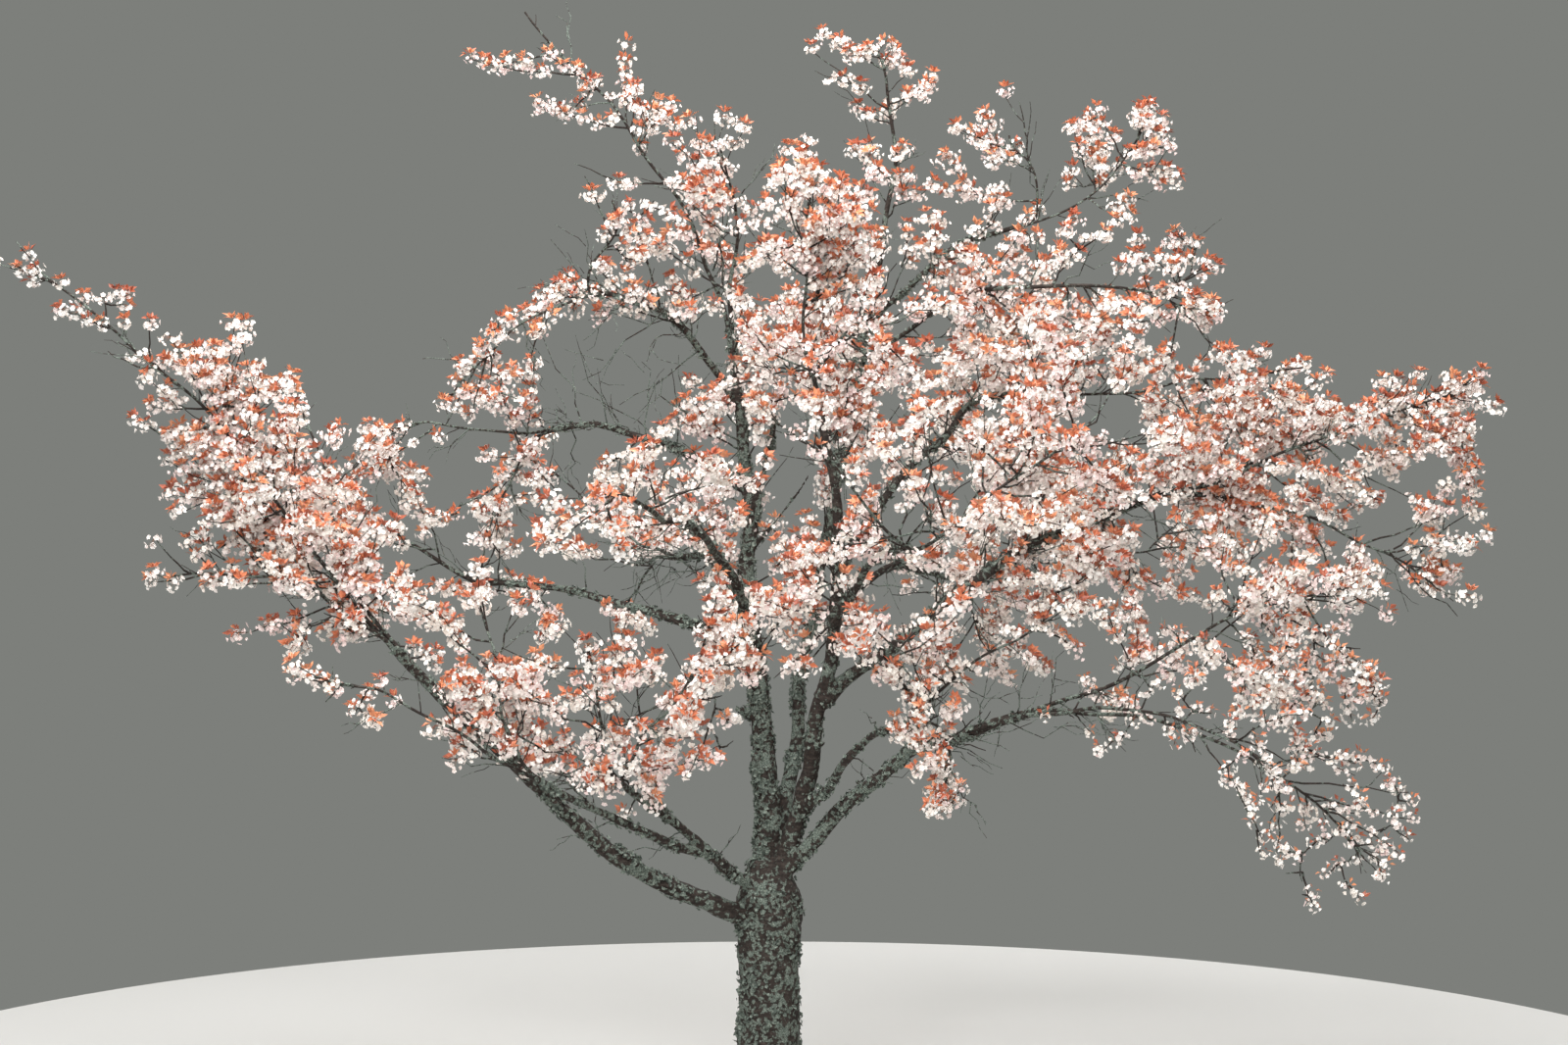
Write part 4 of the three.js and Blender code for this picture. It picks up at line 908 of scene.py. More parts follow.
            (-0.64, 3.53), (-0.72, 3.5), (0.09, 4.4), (0.13, 4.35)),
        "left_crown": ((-2.68, 2.94), (-2.61, 2.9), (-2.75, 2.92), (-2.7, 3.0), (-2.53, 2.87),
            (-2.15, 2.75), (-2.19, 2.81), (-2.1, 2.69), (-2.22, 2.71), (-2.06, 2.77)),
        "top_inner": ((-0.5, 5.56), (-0.45, 5.5), (-0.55, 5.61), (-0.52, 5.46)),
        "bough_upper_right": ((1.39, 5.08), (1.33, 5.14), (1.47, 5.04), (1.41, 4.99), (1.3, 5.05),
            (1.35, 4.88), (1.28, 4.94), (1.39, 4.83), (1.31, 4.86), (1.3, 5.22), (1.25, 5.27),
            (1.35, 5.17), (1.44, 4.75), (1.39, 4.8), (1.49, 4.7)),
        "bough_right_upper": ((1.44, 4.45), (1.37, 4.51), (1.51, 4.39), (1.41, 4.37), (1.48, 4.53),
            (1.35, 4.35), (1.39, 4.41), (1.3, 4.4), (0.67, 3.77), (0.72, 3.82), (0.62, 3.73)),
        "right_upper": ((2.02, 4.54), (2.1, 4.5), (1.95, 4.59), (1.98, 4.48), (2.15, 4.56)),
        "top_right": ((1.98, 6.1), (1.93, 6.05), (2.02, 6.14)),
        "stem_right": ((0.52, 4.35), (0.47, 4.41), (0.56, 4.29), (0.49, 4.3), (0.52, 4.25), (0.47, 4.2)),
        "stem_back": ((0.86, 5.37), (0.91, 5.32), (0.82, 5.43)),
    },
    "side": {
        "left_far": ((-3.54, 4.14), (-3.34, 4.37), (-3.22, 4.29), (-3.45, 4.06), (-3.37, 3.99),
            (-3.31, 3.96), (-3.18, 3.78)),
        "left_outer": ((-3.5, 3.5), (-3.13, 3.57), (-2.97, 3.42), (-2.67, 3.1), (-2.57, 3.17),
            (-3.25, 3.83), (-3.1, 3.6), (-3.2, 3.51)),
        "left_crown": ((-2.76, 3.02), (-2.64, 2.93), (-2.9, 2.93), (-2.95, 2.83), (-2.48, 3.1),
            (-2.39, 3.16), (-2.55, 3.05)),
        "left_upper": ((-2.41, 3.96), (-2.33, 3.89), (-2.25, 3.79)),
        "bough_left_upper": ((-1.11, 3.84), (-0.99, 3.94)),
        "stem_left": ((-0.69, 4.37), (-0.56, 4.31), (-0.5, 4.19)),
        "stem_right": ((0.52, 4.39), (0.56, 4.26), (0.5, 4.14), (0.57, 4.05), (0.49, 4.51), (0.28, 3.26),
            (0.21, 3.22), (0.25, 3.36)),
        "bough_front_left": ((-0.28, 3.1), (-0.22, 3.0)),
        "front_inner": ((-0.3, 2.92), (-0.21, 2.77), (-0.13, 2.69)),
        "front_low": ((1.9, 3.42), (2.02, 3.3), (1.81, 3.23), (2.08, 3.44), (1.96, 3.54)),
        "centre_low": ((0.02, 2.92), (-0.06, 2.81), (0.0, 3.1)),
        "top_inner": ((0.09, 5.14), (0.02, 5.3), (-0.42, 5.68), (-0.35, 5.6), (-0.3, 5.68)),
        "centre_high": ((0.21, 5.2), (0.27, 5.08), (0.32, 5.25), (0.33, 5.53), (0.39, 5.44), (0.27, 5.44)),
        "back_high": ((0.52, 4.56), (0.57, 4.41), (0.59, 4.69), (0.45, 4.69)),
        "bough_upper_right": ((1.6, 4.93), (1.54, 4.75), (1.45, 4.65), (1.69, 5.03), (1.39, 4.46)),
        "upper_right": ((1.66, 5.34), (1.82, 5.38), (1.67, 5.2), (1.85, 4.99), (1.98, 5.36), (1.75, 4.81),
            (2.21, 5.5), (2.02, 4.75), (2.48, 5.14), (2.39, 5.2), (2.55, 5.05), (2.45, 4.99)),
        "bough_right_upper": ((1.54, 4.47), (1.64, 4.41), (1.48, 4.37)),
        "bough_right_main": ((1.54, 3.67), (1.67, 3.6), (1.82, 3.54), (1.57, 3.5), (1.55, 3.34),
            (1.69, 3.96), (1.78, 3.86)),
        "right_drooping": ((1.93, 3.48), (2.04, 3.42), (1.85, 3.36), (2.02, 3.78), (2.05, 3.3)),
        "right_upper": ((2.84, 4.5), (2.97, 4.39), (2.76, 4.36)),
        "right_far": ((3.05, 4.26), (2.88, 4.19), (4.0, 3.71), (2.85, 3.73), (2.75, 3.65), (2.95, 3.66),
            (3.02, 3.75), (2.85, 3.78)),
    },
}
tuftForm = {"backwards": (0.3, 1.2), "depth": 0.15, "size": 0.9, "fork": 0.7, "from": 0.05, "steps": 60}


# the tuft nearest the mass's or limb's line goes first, and each next one leaves from the line or from a tuft
# that is nearer
def addTufts(name, kind, shownTips):
    line = lineOf(name)
    shares = np.linspace(tuftForm["from"], 1, tuftForm["steps"])
    roots = line.pointAt(shares)
    shownRoots = shownLine = onPlane(roots)
    eye = np.array(cameraForm["place"])
    for x, z in sorted(shownTips, key=lambda tip: np.linalg.norm(shownLine - tip, axis=1).min()):
        gaps = np.linalg.norm(shownRoots - (x, z), axis=1)
        nearest = gaps.argmin()
        root = roots[nearest]
        if nearest < len(shares):
            backwards = randoms[name].uniform(*tuftForm["backwards"]) * gaps.min() / line.length
            root = line.pointAt(max(0, shares[nearest] - backwards))
        depth = root[1] + randoms[name].uniform(-1, 1) * tuftForm["depth"]
        tip = eye + (np.array([x, 0, z]) - eye) * (depth - eye[1]) / -eye[1]
        tip = np.clip(tip, lowCorner, highCorner)
        sprays.append({"mass": name, "root": root, "tip": tip, "size": tuftForm["size"], "kind": kind})
        roots = np.vstack([roots, mix(root, tip, tuftForm["fork"])])
        shownRoots = onPlane(roots)


for kind, group in tufts.items():
    for name, shownTips in group.items():
        addTufts(name, kind, shownTips)
for kind, group in loneTwigs.items():
    for name, twigs in group.items():
        for share, tip in twigs:
            root = lineOf(name).pointAt(share)
            sprays.append(
                {"mass": name, "root": root, "tip": np.array(tip), "size": tuftForm["size"], "kind": kind})
print("sprays", len(sprays))

# finer growth: each spray is an axis, and all but the slender ones have a few shoots; each is one bend
shootForm = {
    "count": (1, 2),
    "from": (0.3, 0.7),
    "jitter": (0.1, 0.9),
    "angle": (34.0, 56.0),
    "stray": 25,
    "flatness": 0.8,
    "reach": 1.05,  # of the spray's half width
    "reachRange": (0.75, 1.1),
    "lift": (0.3, -0.05),  # how much the ends turn up, and the same where they weep, as in the next two
    "axisSag": (0.06, -0.05),
    "shootSag": (0.09, -0.03),
    "bow": 0.06,
    "axisRadius": (0.0080, 0.0030),
    "shootRadius": (0.0045, 0.0022),
    "axisRings": 7,
    "shootRings": 5,
    # bare share at the root
    "bare": {"twig": 0.40, "side": 0.28, "slender": 0.20, "tip": 0.15, "shoot": 0.25, "spurTwig": 0.35},
}
axes, shoots = [], []


def bend(random, start, end, bowSize, sag):
    length = np.linalg.norm(end - start)
    middle = mix(start, end, 0.5) + random.normal(0, bowSize, 3) * length - up * sag * length
    return np.array([start, middle, end])


def pointOnBend(bow, t):
    return (1 - t) ** 2 * bow[0] + 2 * t * (1 - t) * bow[1] + t**2 * bow[2]


# a twig that bears clusters beyond its bare part
def dressedTwig(bow, mass, kind, scale):
    return {"bend": bow, "mass": mass, "bare": shootForm["bare"][kind], "scale": scale}


for spray in sprays:
    random = randoms[spray["mass"]]
    root, tip, size = spray["root"], spray["tip"], spray["size"]
    direction = unit(tip - root)
    weeping = isWeeping(spray["mass"])
    axis = bend(random, root, tip, shootForm["bow"], shootForm["axisSag"][weeping])
    scale = clusterScale(spray["mass"], spray["kind"])
    axes.append(dressedTwig(axis, spray["mass"], spray["kind"], scale))
    side = levelAcross(direction)
    over = np.cross(side, direction)
    count = random.integers(shootForm["count"][0], shootForm["count"][1] + 1)
    count += random.random() < massForms.get(spray["mass"], {}).get("bloom", 1.0) - 1
    if spray["kind"] == "slender":
        count = 0
    turn = random.uniform(0, 360)
    for k in range(count):
        share = mix(*shootForm["from"], (k + random.uniform(*shootForm["jitter"])) / count)
        start = pointOnBend(axis, share)
        turn += growthRule["goldenAngle"] + random.uniform(-shootForm["stray"], shootForm["stray"])
        around = math.radians(turn)
        angle = math.radians(random.uniform(*shootForm["angle"]))
        away = unit(side * math.cos(around) + over * shootForm["flatness"] * math.sin(around))
        heading = unit(direction * math.cos(angle) + away * math.sin(angle))
        reach = growthRule["halfWidth"] * size * shootForm["reach"] / math.sin(angle)
        reach *= random.uniform(*shootForm["reachRange"])
        end = start + heading * reach + up * shootForm["lift"][weeping] * reach
        if not withinReach(start, end, spray["mass"]) or hitsWood(start, end, woodForm["shootRoom"]):
            continue
        bow = bend(random, start, end, shootForm["bow"], shootForm["shootSag"][weeping])
        shoots.append(dressedTwig(bow, spray["mass"], "shoot", scale))
print("axes", len(axes), "shoots", len(shoots))

# short blossom twigs straight on the stems of the masses, shortest and closest along slim ends
spurTwigForm = {
    "spacing": 0.20,
    "length": (0.14, 0.30),
    "from": 0.05,
    "slimSpacing": 0.13,
    "slimLength": (0.03, 0.10),
    "bow": 0.06,
    "sag": 0.05,
    "rise": 0.25,
    "weepingRise": -0.2,
}
spurTwigs = []


def growSpurTwigs(name, first, last, spacing, length, kind):
    random = randoms[name]
    rise = spurTwigForm["weepingRise" if name.startswith("weeping") else "rise"]
    for start, direction in roundLine(stems[name]["line"], first, last, spacing, rise, random):
        end = start + direction * random.uniform(*length)
        if end[2] > growthRule["lowestBlossom"]:
            bow = bend(random, start, end, spurTwigForm["bow"], spurTwigForm["sag"])
            spurTwigs.append(dressedTwig(bow, name, "spurTwig", clusterScale(name, kind)))


for name in stems:
    form = massForms[name]
    first = max(spurTwigForm["from"], form.get("bareTo", 0.0))
    slimFrom = form.get("slimFrom", 1.0)
    growSpurTwigs(name, first, slimFrom, spurTwigForm["spacing"], spurTwigForm["length"], "side")
    if slimFrom < 1:
        growSpurTwigs(name, slimFrom, 1.0, spurTwigForm["slimSpacing"], spurTwigForm["slimLength"], "slender")
print("spur twigs", len(spurTwigs))

# bare twigs: thin, crooked and grey with lichen, most of them under the arch
bareTwigForm = {
    "spacing": 0.34,
    "length": (0.22, 0.52),
    "onStems": (0.05, 0.8, 0.1),  # share from, share to, rise
    "onBoughs": (0.4, 1.0, 0.1),
    "closeSpacing": 0.085,
    "closeLength": (0.3, 0.75),
    "closeLimbs": {
        "bough_arch": (0.25, 1.0, -0.5),
        "bough_left_upper": (0.3, 1.0, 0.8),
        "bough_right_main": (0.5, 1.0, 0.1),
        "bough_right_low": (0.6, 1.0, 0.3),
        "bough_back_left": (0.3, 1.0, 0.3),
    },
    "sides": (1, 3),
    "sideAt": (0.25, 0.85),
    "sideTurn": 0.55,
    "sideLength": (0.3, 0.6),
    "crook": 0.10,
    "radius": (0.0055, 0.0020),
    "sideRadius": (0.0032, 0.0015),
    "rings": 6,
    "sideRings": 5,
}
bareTwigs, bareSides = [], []


def growBareTwigs(name, first, last, rise, spacing, length):
    random = randoms[name]
    for start, direction in roundLine(lineOf(name), first, last, spacing, rise, random):
        end = start + direction * random.uniform(*length)
        if end[2] < growthRule["lowestBlossom"]:
            continue
        twig = bend(random, start, end, bareTwigForm["crook"], 0.0)
        bareTwigs.append(twig)
        for _ in range(random.integers(bareTwigForm["sides"][0], bareTwigForm["sides"][1] + 1)):
            fork = pointOnBend(twig, random.uniform(*bareTwigForm["sideAt"]))
            away = unit(direction + random.normal(0, bareTwigForm["sideTurn"], 3))
            reach = np.linalg.norm(end - start) * random.uniform(*bareTwigForm["sideLength"])
            bareSides.append(bend(random, fork, fork + away * reach, bareTwigForm["crook"], 0.0))


for name in stems:
    growBareTwigs(name, *bareTwigForm["onStems"], bareTwigForm["spacing"], bareTwigForm["length"])
for name in limbs:
    if name.startswith("bough"):
        growBareTwigs(name, *bareTwigForm["onBoughs"], bareTwigForm["spacing"], bareTwigForm["length"])
for name, stretch in bareTwigForm["closeLimbs"].items():
    growBareTwigs(name, *stretch, bareTwigForm["closeSpacing"], bareTwigForm["closeLength"])
print("bare twigs", len(bareTwigs), "and", len(bareSides), "side twigs")


# mesh arrays: tubes along rows of points
nearUpright = 0.9


def tubes(points, radii, sides):
    count, rings = points.shape[:2]
    headings = unit(np.gradient(points, axis=1))
    mean = unit(points[:, -1] - points[:, 0])
    flat = np.abs(mean[:, 2]) < nearUpright
    reference = np.where(flat[:, None], up, np.array([1.0, 0.0, 0.0]))
    side = unit(np.cross(headings, reference[:, None]))
    over = np.cross(side, headings)
    angles = 2 * np.pi * np.arange(sides) / sides
    ring = side[:, :, None] * np.cos(angles)[:, None] + over[:, :, None] * np.sin(angles)[:, None]
    vertices = points[:, :, None] + ring * radii[:, :, None, None]
    first = np.arange(count)[:, None, None] * rings * sides + np.arange(rings - 1)[None, :, None] * sides
    k = np.arange(sides)[None, None]
    after = (k + 1) % sides
    quads = np.stack([first + k, first + k + sides, first + after + sides, first + after], -1)
    return vertices.reshape(-1, 3), quads.reshape(-1, 4)


def meshFromArrays(name, vertices, faces, smooth=False):
    mesh = bpy.data.meshes.new(name)
    corners = faces.shape[1]
    mesh.vertices.add(len(vertices))
    mesh.vertices.foreach_set("co", np.ascontiguousarray(vertices, dtype=np.float32).ravel())
    mesh.loops.add(faces.size)
    mesh.loops.foreach_set("vertex_index", np.ascontiguousarray(faces, dtype=np.int32).ravel())
    mesh.polygons.add(len(faces))
    mesh.polygons.foreach_set("loop_start", np.arange(0, faces.size, corners, dtype=np.int32))
    mesh.update(calc_edges=True)
    mesh.polygons.foreach_set("use_smooth", np.full(len(faces), smooth))
    thing = bpy.data.objects.new(name, mesh)
    bpy.context.scene.collection.objects.link(thing)
    return thing


# faces of many small fans, each a middle point and a rim of points that closes
def fanFaces(count, points):
    first = (points + 1) * np.arange(count)[:, None]
    return np.concatenate([first + np.array([[0, 1 + k, 1 + (k + 1) % points]]) for k in range(points)])


def finishPiece(thing, materials, nodes):
    for material in materials:
        thing.data.materials.append(material)
    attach(thing, "root")
    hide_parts(*nodes)
    corners = np.zeros(len(thing.data.polygons), np.int32)
    thing.data.polygons.foreach_get("loop_total", corners)
    print(thing.name, int((corners - 2).sum()), "triangles")


massNodes = ["blossom_" + name for name in massForms]
woodNodes = list(limbs)


# materials
def newMaterial(name):
    material = bpy.data.materials.new(name)
    material.use_nodes = True
    nodes = material.node_tree.nodes
    shader = nodes["Principled BSDF"]
    return material, nodes, material.node_tree.links, shader


def noiseNode(nodes, links, scale, detail, vector):
    made = nodes.new("ShaderNodeTexNoise")
    made.inputs["Scale"].default_value = scale
    made.inputs["Detail"].default_value = detail
    links.new(vector, made.inputs["Vector"])
    return made


def rampNode(nodes, links, source, stops):
    made = nodes.new("ShaderNodeValToRGB")
    ramp = made.color_ramp
    while len(ramp.elements) < len(stops):
        ramp.elements.new(0.5)
    for element, (place, colour) in zip(ramp.elements, stops):
        element.position = place
        element.color = (*colour, 1)
    links.new(source, made.inputs["Fac"])
    return made


# a skin in soft clouds of two or three colours
def cloudMaterial(name, looks, stops):
    material, nodes, links, shader = newMaterial(name)
    place = nodes.new("ShaderNodeTexCoord").outputs["Object"]
    cloud = noiseNode(nodes, links, looks["scale"], looks["detail"], place)
    ramp = rampNode(nodes, links, cloud.outputs["Fac"], stops)
    links.new(ramp.outputs["Color"], shader.inputs["Base Color"])
    shader.inputs["Roughness"].default_value = looks["roughness"]
    shader.inputs["Specular IOR Level"].default_value = looks["specular"]
    return material


def mathNode(nodes, links, operation, first, second):
    made = nodes.new("ShaderNodeMath")
    made.operation = operation
    for socket, value in zip(made.inputs, (first, second)):
        if isinstance(value, float):
            socket.default_value = value
        else:
            links.new(value, socket)
    return made.outputs["Value"]


# looks of the bark: dark rough plates in level bands, and lichen in clumps within broad patches
barkLooks = {
    "bandScale": (1.0, 1.0, 3.2),
    "bands": (16.0, 5.0),  # scale and detail, as for the next ones
    "grain": (75.0, 6.0),
    "grainShare": 0.4,
    "broad": (7.0, 3.0),
    "broadShare": 0.4,
    "clumps": (34.0, 5.0),
    "crust": (150.0, 3.0),
    "edge": (0.02, 0.025),  # how far the lichen's edge fades, to either side of its threshold
    "wood": ((0.30, (0.010, 0.008, 0.007)), (0.52, (0.034, 0.026, 0.022)), (0.75, (0.088, 0.072, 0.062))),
    "lichen": ((0.32, (0.050, 0.064, 0.052)), (0.50, (0.130, 0.158, 0.134)), (0.66, (0.27, 0.31, 0.265))),
    "relief": 0.008,
    "reliefStrength": 0.8,
    "roughness": 0.92,
    "specular": 0.3,
}


def barkMaterial(name, threshold):
    material, nodes, links, shader = newMaterial(name)
    place = nodes.new("ShaderNodeTexCoord").outputs["Object"]
    squashed = nodes.new("ShaderNodeMapping")
    squashed.inputs["Scale"].default_value = barkLooks["bandScale"]
    links.new(place, squashed.inputs["Vector"])
    bands = noiseNode(nodes, links, *barkLooks["bands"], squashed.outputs["Vector"])
    grain = noiseNode(nodes, links, *barkLooks["grain"], place)
    plates = mathNode(nodes, links, "MULTIPLY", bands.outputs["Fac"], 1 - barkLooks["grainShare"])
    fine = mathNode(nodes, links, "MULTIPLY", grain.outputs["Fac"], barkLooks["grainShare"])
    rough = mathNode(nodes, links, "ADD", plates, fine)
    wood = rampNode(nodes, links, rough, barkLooks["wood"])
    broad = noiseNode(nodes, links, *barkLooks["broad"], place)
    clumps = noiseNode(nodes, links, *barkLooks["clumps"], place)
    broadPart = mathNode(nodes, links, "MULTIPLY", broad.outputs["Fac"], barkLooks["broadShare"])
    clumpPart = mathNode(nodes, links, "MULTIPLY", clumps.outputs["Fac"], 1 - barkLooks["broadShare"])
    cover = mathNode(nodes, links, "ADD", broadPart, clumpPart)
    below, above = barkLooks["edge"]
    mask = rampNode(nodes, links, cover, [(threshold - below, (0, 0, 0)), (threshold + above, (1, 1, 1))])
    crust = noiseNode(nodes, links, *barkLooks["crust"], place)
    lichen = rampNode(nodes, links, crust.outputs["Fac"], barkLooks["lichen"])
    blendNode = nodes.new("ShaderNodeMix")
    blendNode.data_type = "RGBA"
    links.new(mask.outputs["Color"], blendNode.inputs["Factor"])
    links.new(wood.outputs["Color"], blendNode.inputs["A"])
    links.new(lichen.outputs["Color"], blendNode.inputs["B"])
    links.new(blendNode.outputs["Result"], shader.inputs["Base Color"])
    shader.inputs["Roughness"].default_value = barkLooks["roughness"]
    shader.inputs["Specular IOR Level"].default_value = barkLooks["specular"]
    crusted = mathNode(nodes, links, "MULTIPLY", mask.outputs["Color"], crust.outputs["Fac"])
    height = mathNode(nodes, links, "ADD", rough, crusted)
    relief = nodes.new("ShaderNodeBump")
    relief.inputs["Strength"].default_value = barkLooks["reliefStrength"]
    relief.inputs["Distance"].default_value = barkLooks["relief"]
    links.new(height, relief.inputs["Height"])
    links.new(relief.outputs["Normal"], shader.inputs["Normal"])
    return material


# bark: trunk and boughs as one skin, remeshed so the forks flow together, then given its relief
barkForm = {
    "ringStep": 0.03,
    "sides": 16,
    "collar": 0.55,  # how much a limb swells where it leaves, as a share of its radius
    "collarReach": 0.10,
    "voxel": 0.011,
    "triangles": 105000,
    "bulge": {"size": 0.022, "scale": (2.6, 2.6, 2.6), "fullFrom": 0.18},  # full on limbs from this radius
    "lump": {"size": 0.013, "scale": (6.0, 6.0, 6.0), "fullFrom": 0.08},
    "plate": {"size": 0.007, "scale": (20, 20, 55), "fullFrom": 0.12},
    "footHeight": 0.004,  # points below it stay on the ground
    "stubs": (  # broken twigs on the stems: limb, share of it, which way, length, thickness
        ("stem_left", 0.33, 200.0, 0.10, 0.046),
        ("stem_left", 0.20, 20.0, 0.06, 0.038),
        ("stem_right", 0.30, 300.0, 0.09, 0.034),
        ("stem_back", 0.36, 70.0, 0.08, 0.030),
        ("bough_left_low", 0.35, 90.0, 0.08, 0.034),
        ("bough_right_low", 0.45, 110.0, 0.07, 0.030),
    ),
    "forks": (  # side boughs of the skin's own: limb, share of it, tip, radii
        ("stem_left", 0.60, (0.03, 0.15, 4.25), (0.030, 0.014)),
        ("stem_left", 0.62, (0.24, -0.05, 3.88), (0.013, 0.007)),
        ("stem_right", 0.86, (0.62, -0.62, 4.30), (0.012, 0.006)),
    ),
    "forkBow": (0.0, 0.0, -0.05),
    "forkWander": (0.01, 7),  # and its seed
    "forkRings": 24,
    "stubRings": 6,
    "stubTaper": (0.6, 0.42),  # its radius at the root and end, as a share of its thickness
    "stubRise": 0.5,
}


def trunkRadius(height, angle):
    form = trunkForm
    flare = form["flare"] * np.exp(-2 * (height / form["flareHeight"]) ** 1.4)
    fade = np.exp(-height / form["flareHeight"])
    lobes = 1 + form["lobeDepth"] * np.cos(form["lobes"] * angle + form["lobeTurn"]) * fade
    swelling = form["collarOut"] * np.exp(-(((height - form["collarHeight"]) / form["collarReach"]) ** 2))
    share = np.clip((height - form["shoulder"]) / (form["height"] - form["shoulder"]), 0, 1)
    narrowing = share**2 * (3 - 2 * share) * (form["waist"] - form["crown"])
    return form["waist"] + flare * lobes + swelling - narrowing


def trunkShell():
    form = trunkForm
    line = limbs["trunk"]["line"]
    rings = int(form["height"] / form["step"]) + 1
    shares = np.linspace(0, 1, rings)
    angles = 2 * np.pi * np.arange(form["sides"]) / form["sides"]
    radius = trunkRadius((shares * form["height"])[:, None], angles[None])
    centres = line.pointAt(shares)
    ring = np.stack([np.cos(angles), np.sin(angles), np.zeros(len(angles))], -1)
    return centres[:, None] + radius[..., None] * ring[None]


# one tube round a line, as rings of points that run the other way round
def shellRings(points, radii):
    vertices, _ = tubes(points[None], radii[None], barkForm["sides"])
    return vertices.reshape(len(points), barkForm["sides"], 3)[:, ::-1]


def closedTube(vertices):
    rings, sides = vertices.shape[:2]
    faces = []
    for ring in range(rings - 1):
        for k in range(sides):
            a, b = ring * sides + k, ring * sides + (k + 1) % sides
            faces.append((a, b, b + sides, a + sides))
    faces.append(tuple(reversed(range(sides))))
    faces.append(tuple(range((rings - 1) * sides, rings * sides)))
    return vertices.reshape(-1, 3), faces


def limbShell(limb):
    line = limb["line"]
    rings = max(8, int(line.length / barkForm["ringStep"]) + 1)
    shares = np.linspace(0, 1, rings)
    away = (shares * line.length - 0.5 * limb["root"]) / barkForm["collarReach"]
    radius = limbRadius(limb, shares) * (1 + barkForm["collar"] * np.exp(-away ** 2))
    return shellRings(line.pointAt(shares), radius)


def stubShell(limbName, share, azimuth, length, thickness):
    root = limbs[limbName]["line"].pointAt(share)
    angle = math.radians(azimuth)
    heading = unit(np.array([math.cos(angle), math.sin(angle), barkForm["stubRise"]]))
    reach = limbRadius(limbs[limbName], share) + length
    points = root + heading * np.linspace(0, reach, barkForm["stubRings"])[:, None]
    return shellRings(points, np.linspace(*barkForm["stubTaper"], barkForm["stubRings"]) * thickness)


def forkShell(limbName, share, tip, radii):
    root = limbs[limbName]["line"].pointAt(share)
    line = bowedLine(root, np.array(tip), np.array(barkForm["forkBow"]), *barkForm["forkWander"])
    shares = np.linspace(0, 1, barkForm["forkRings"])
    return shellRings(line.pointAt(shares), mix(*radii, shares))


def makeBark():
    vertices, faces = [], []
    shells = [trunkShell()] + [limbShell(limb) for name, limb in limbs.items() if name != "trunk"]
    shells += [stubShell(*stub) for stub in barkForm["stubs"]]
    shells += [forkShell(*fork) for fork in barkForm["forks"]]
    for shell in shells:
        ringPoints, ringFaces = closedTube(shell)
        base = sum(len(v) for v in vertices)
        vertices.append(ringPoints)
        faces += [tuple(base + k for k in face) for face in ringFaces]
    mesh = bpy.data.meshes.new("bark")
    mesh.from_pydata(np.concatenate(vertices).tolist(), [], faces)
    bark = bpy.data.objects.new("bark", mesh)
    bpy.context.scene.collection.objects.link(bark)
    remesh = bark.modifiers.new("skin", "REMESH")
    remesh.mode = "VOXEL"
    remesh.voxel_size = barkForm["voxel"]
    apply(bark)
    return bark


def apply(thing):
    graph = bpy.context.evaluated_depsgraph_get()
    shaped = bpy.data.meshes.new_from_object(thing.evaluated_get(graph))
    thing.modifiers.clear()
    old = thing.data
    thing.data = shaped
    bpy.data.meshes.remove(old)


def readRows(items, key):
    values = np.zeros(len(items) * 3, np.float32)
    items.foreach_get(key, values)
    return values.reshape(-1, 3).astype(float)


def fractalNoise(vector):
    return noise.fractal(vector, 1.0, 2.0, 3)


bark = makeBark()
print("bark skin", len(bark.data.vertices), "points")
place = readRows(bark.data.vertices, "co")
outward = readRows(bark.data.vertex_normals, "vector")
localRadius = np.array([woodPoints[woodTree.find(p)[1]][1] for p in place])
push = np.zeros(len(place))
for kind, waves in (("lump", fractalNoise), ("plate", noise.noise), ("bulge", noise.noise)):
    form = barkForm[kind]
    rough = np.array([waves(Vector(p) * Vector(form["scale"])) for p in place])
    push += form["size"] * rough * np.minimum(1, localRadius / form["fullFrom"])
moved = place + outward * push[:, None]
moved[:, 2] = np.maximum(moved[:, 2], 0.0)
moved[place[:, 2] < barkForm["footHeight"], 2] = 0.0
bark.data.vertices.foreach_set("co", moved.astype(np.float32).ravel())
triangleCount = 2 * len(bark.data.polygons)
fewer = bark.modifiers.new("fewer", "DECIMATE")
fewer.ratio = min(1.0, barkForm["triangles"] / triangleCount)
apply(bark)
bark.data.polygons.foreach_set("use_smooth", np.full(len(bark.data.polygons), True))

# each limb's bark with its own amount of lichen: a low threshold is much of it
lichenForm = {
    "thresholds": {"trunk": 0.515, "stem_left": 0.50, "stem_back": 0.475, "stem_right": 0.55, "boughs": 0.52},
    "waver": (9.0, 0.10),  # scale and size of the waves in the borders between two limbs
    "tufts": 6000,
    "barest": 0.56,  # threshold from which a limb has no tufts
    "patches": (5.0, 0.25, 1.6, 0.02, 1.0),  # scale, usual amount, swing, least and most
    "radius": (0.008, 0.021),
    "lift": (0.001, 0.009),
    "tilt": 0.45,
    "points": 5,
    "pointReach": (0.55, 1.25),
    "pointRise": (0.1, 0.6),
    "lowest": 0.002,
    "scale": 60.0,
    "detail": 4.0,
    "roughness": 0.95,
    "specular": 0.5,
}
barkKinds = list(lichenForm["thresholds"])


def limbKind(p):
    scale, size = lichenForm["waver"]
    waver = noise.noise_vector(Vector(p) * scale) * size
    name = woodPoints[woodTree.find(Vector(p) + waver)[1]][2]
    return barkKinds.index(name if name in barkKinds else "boughs")


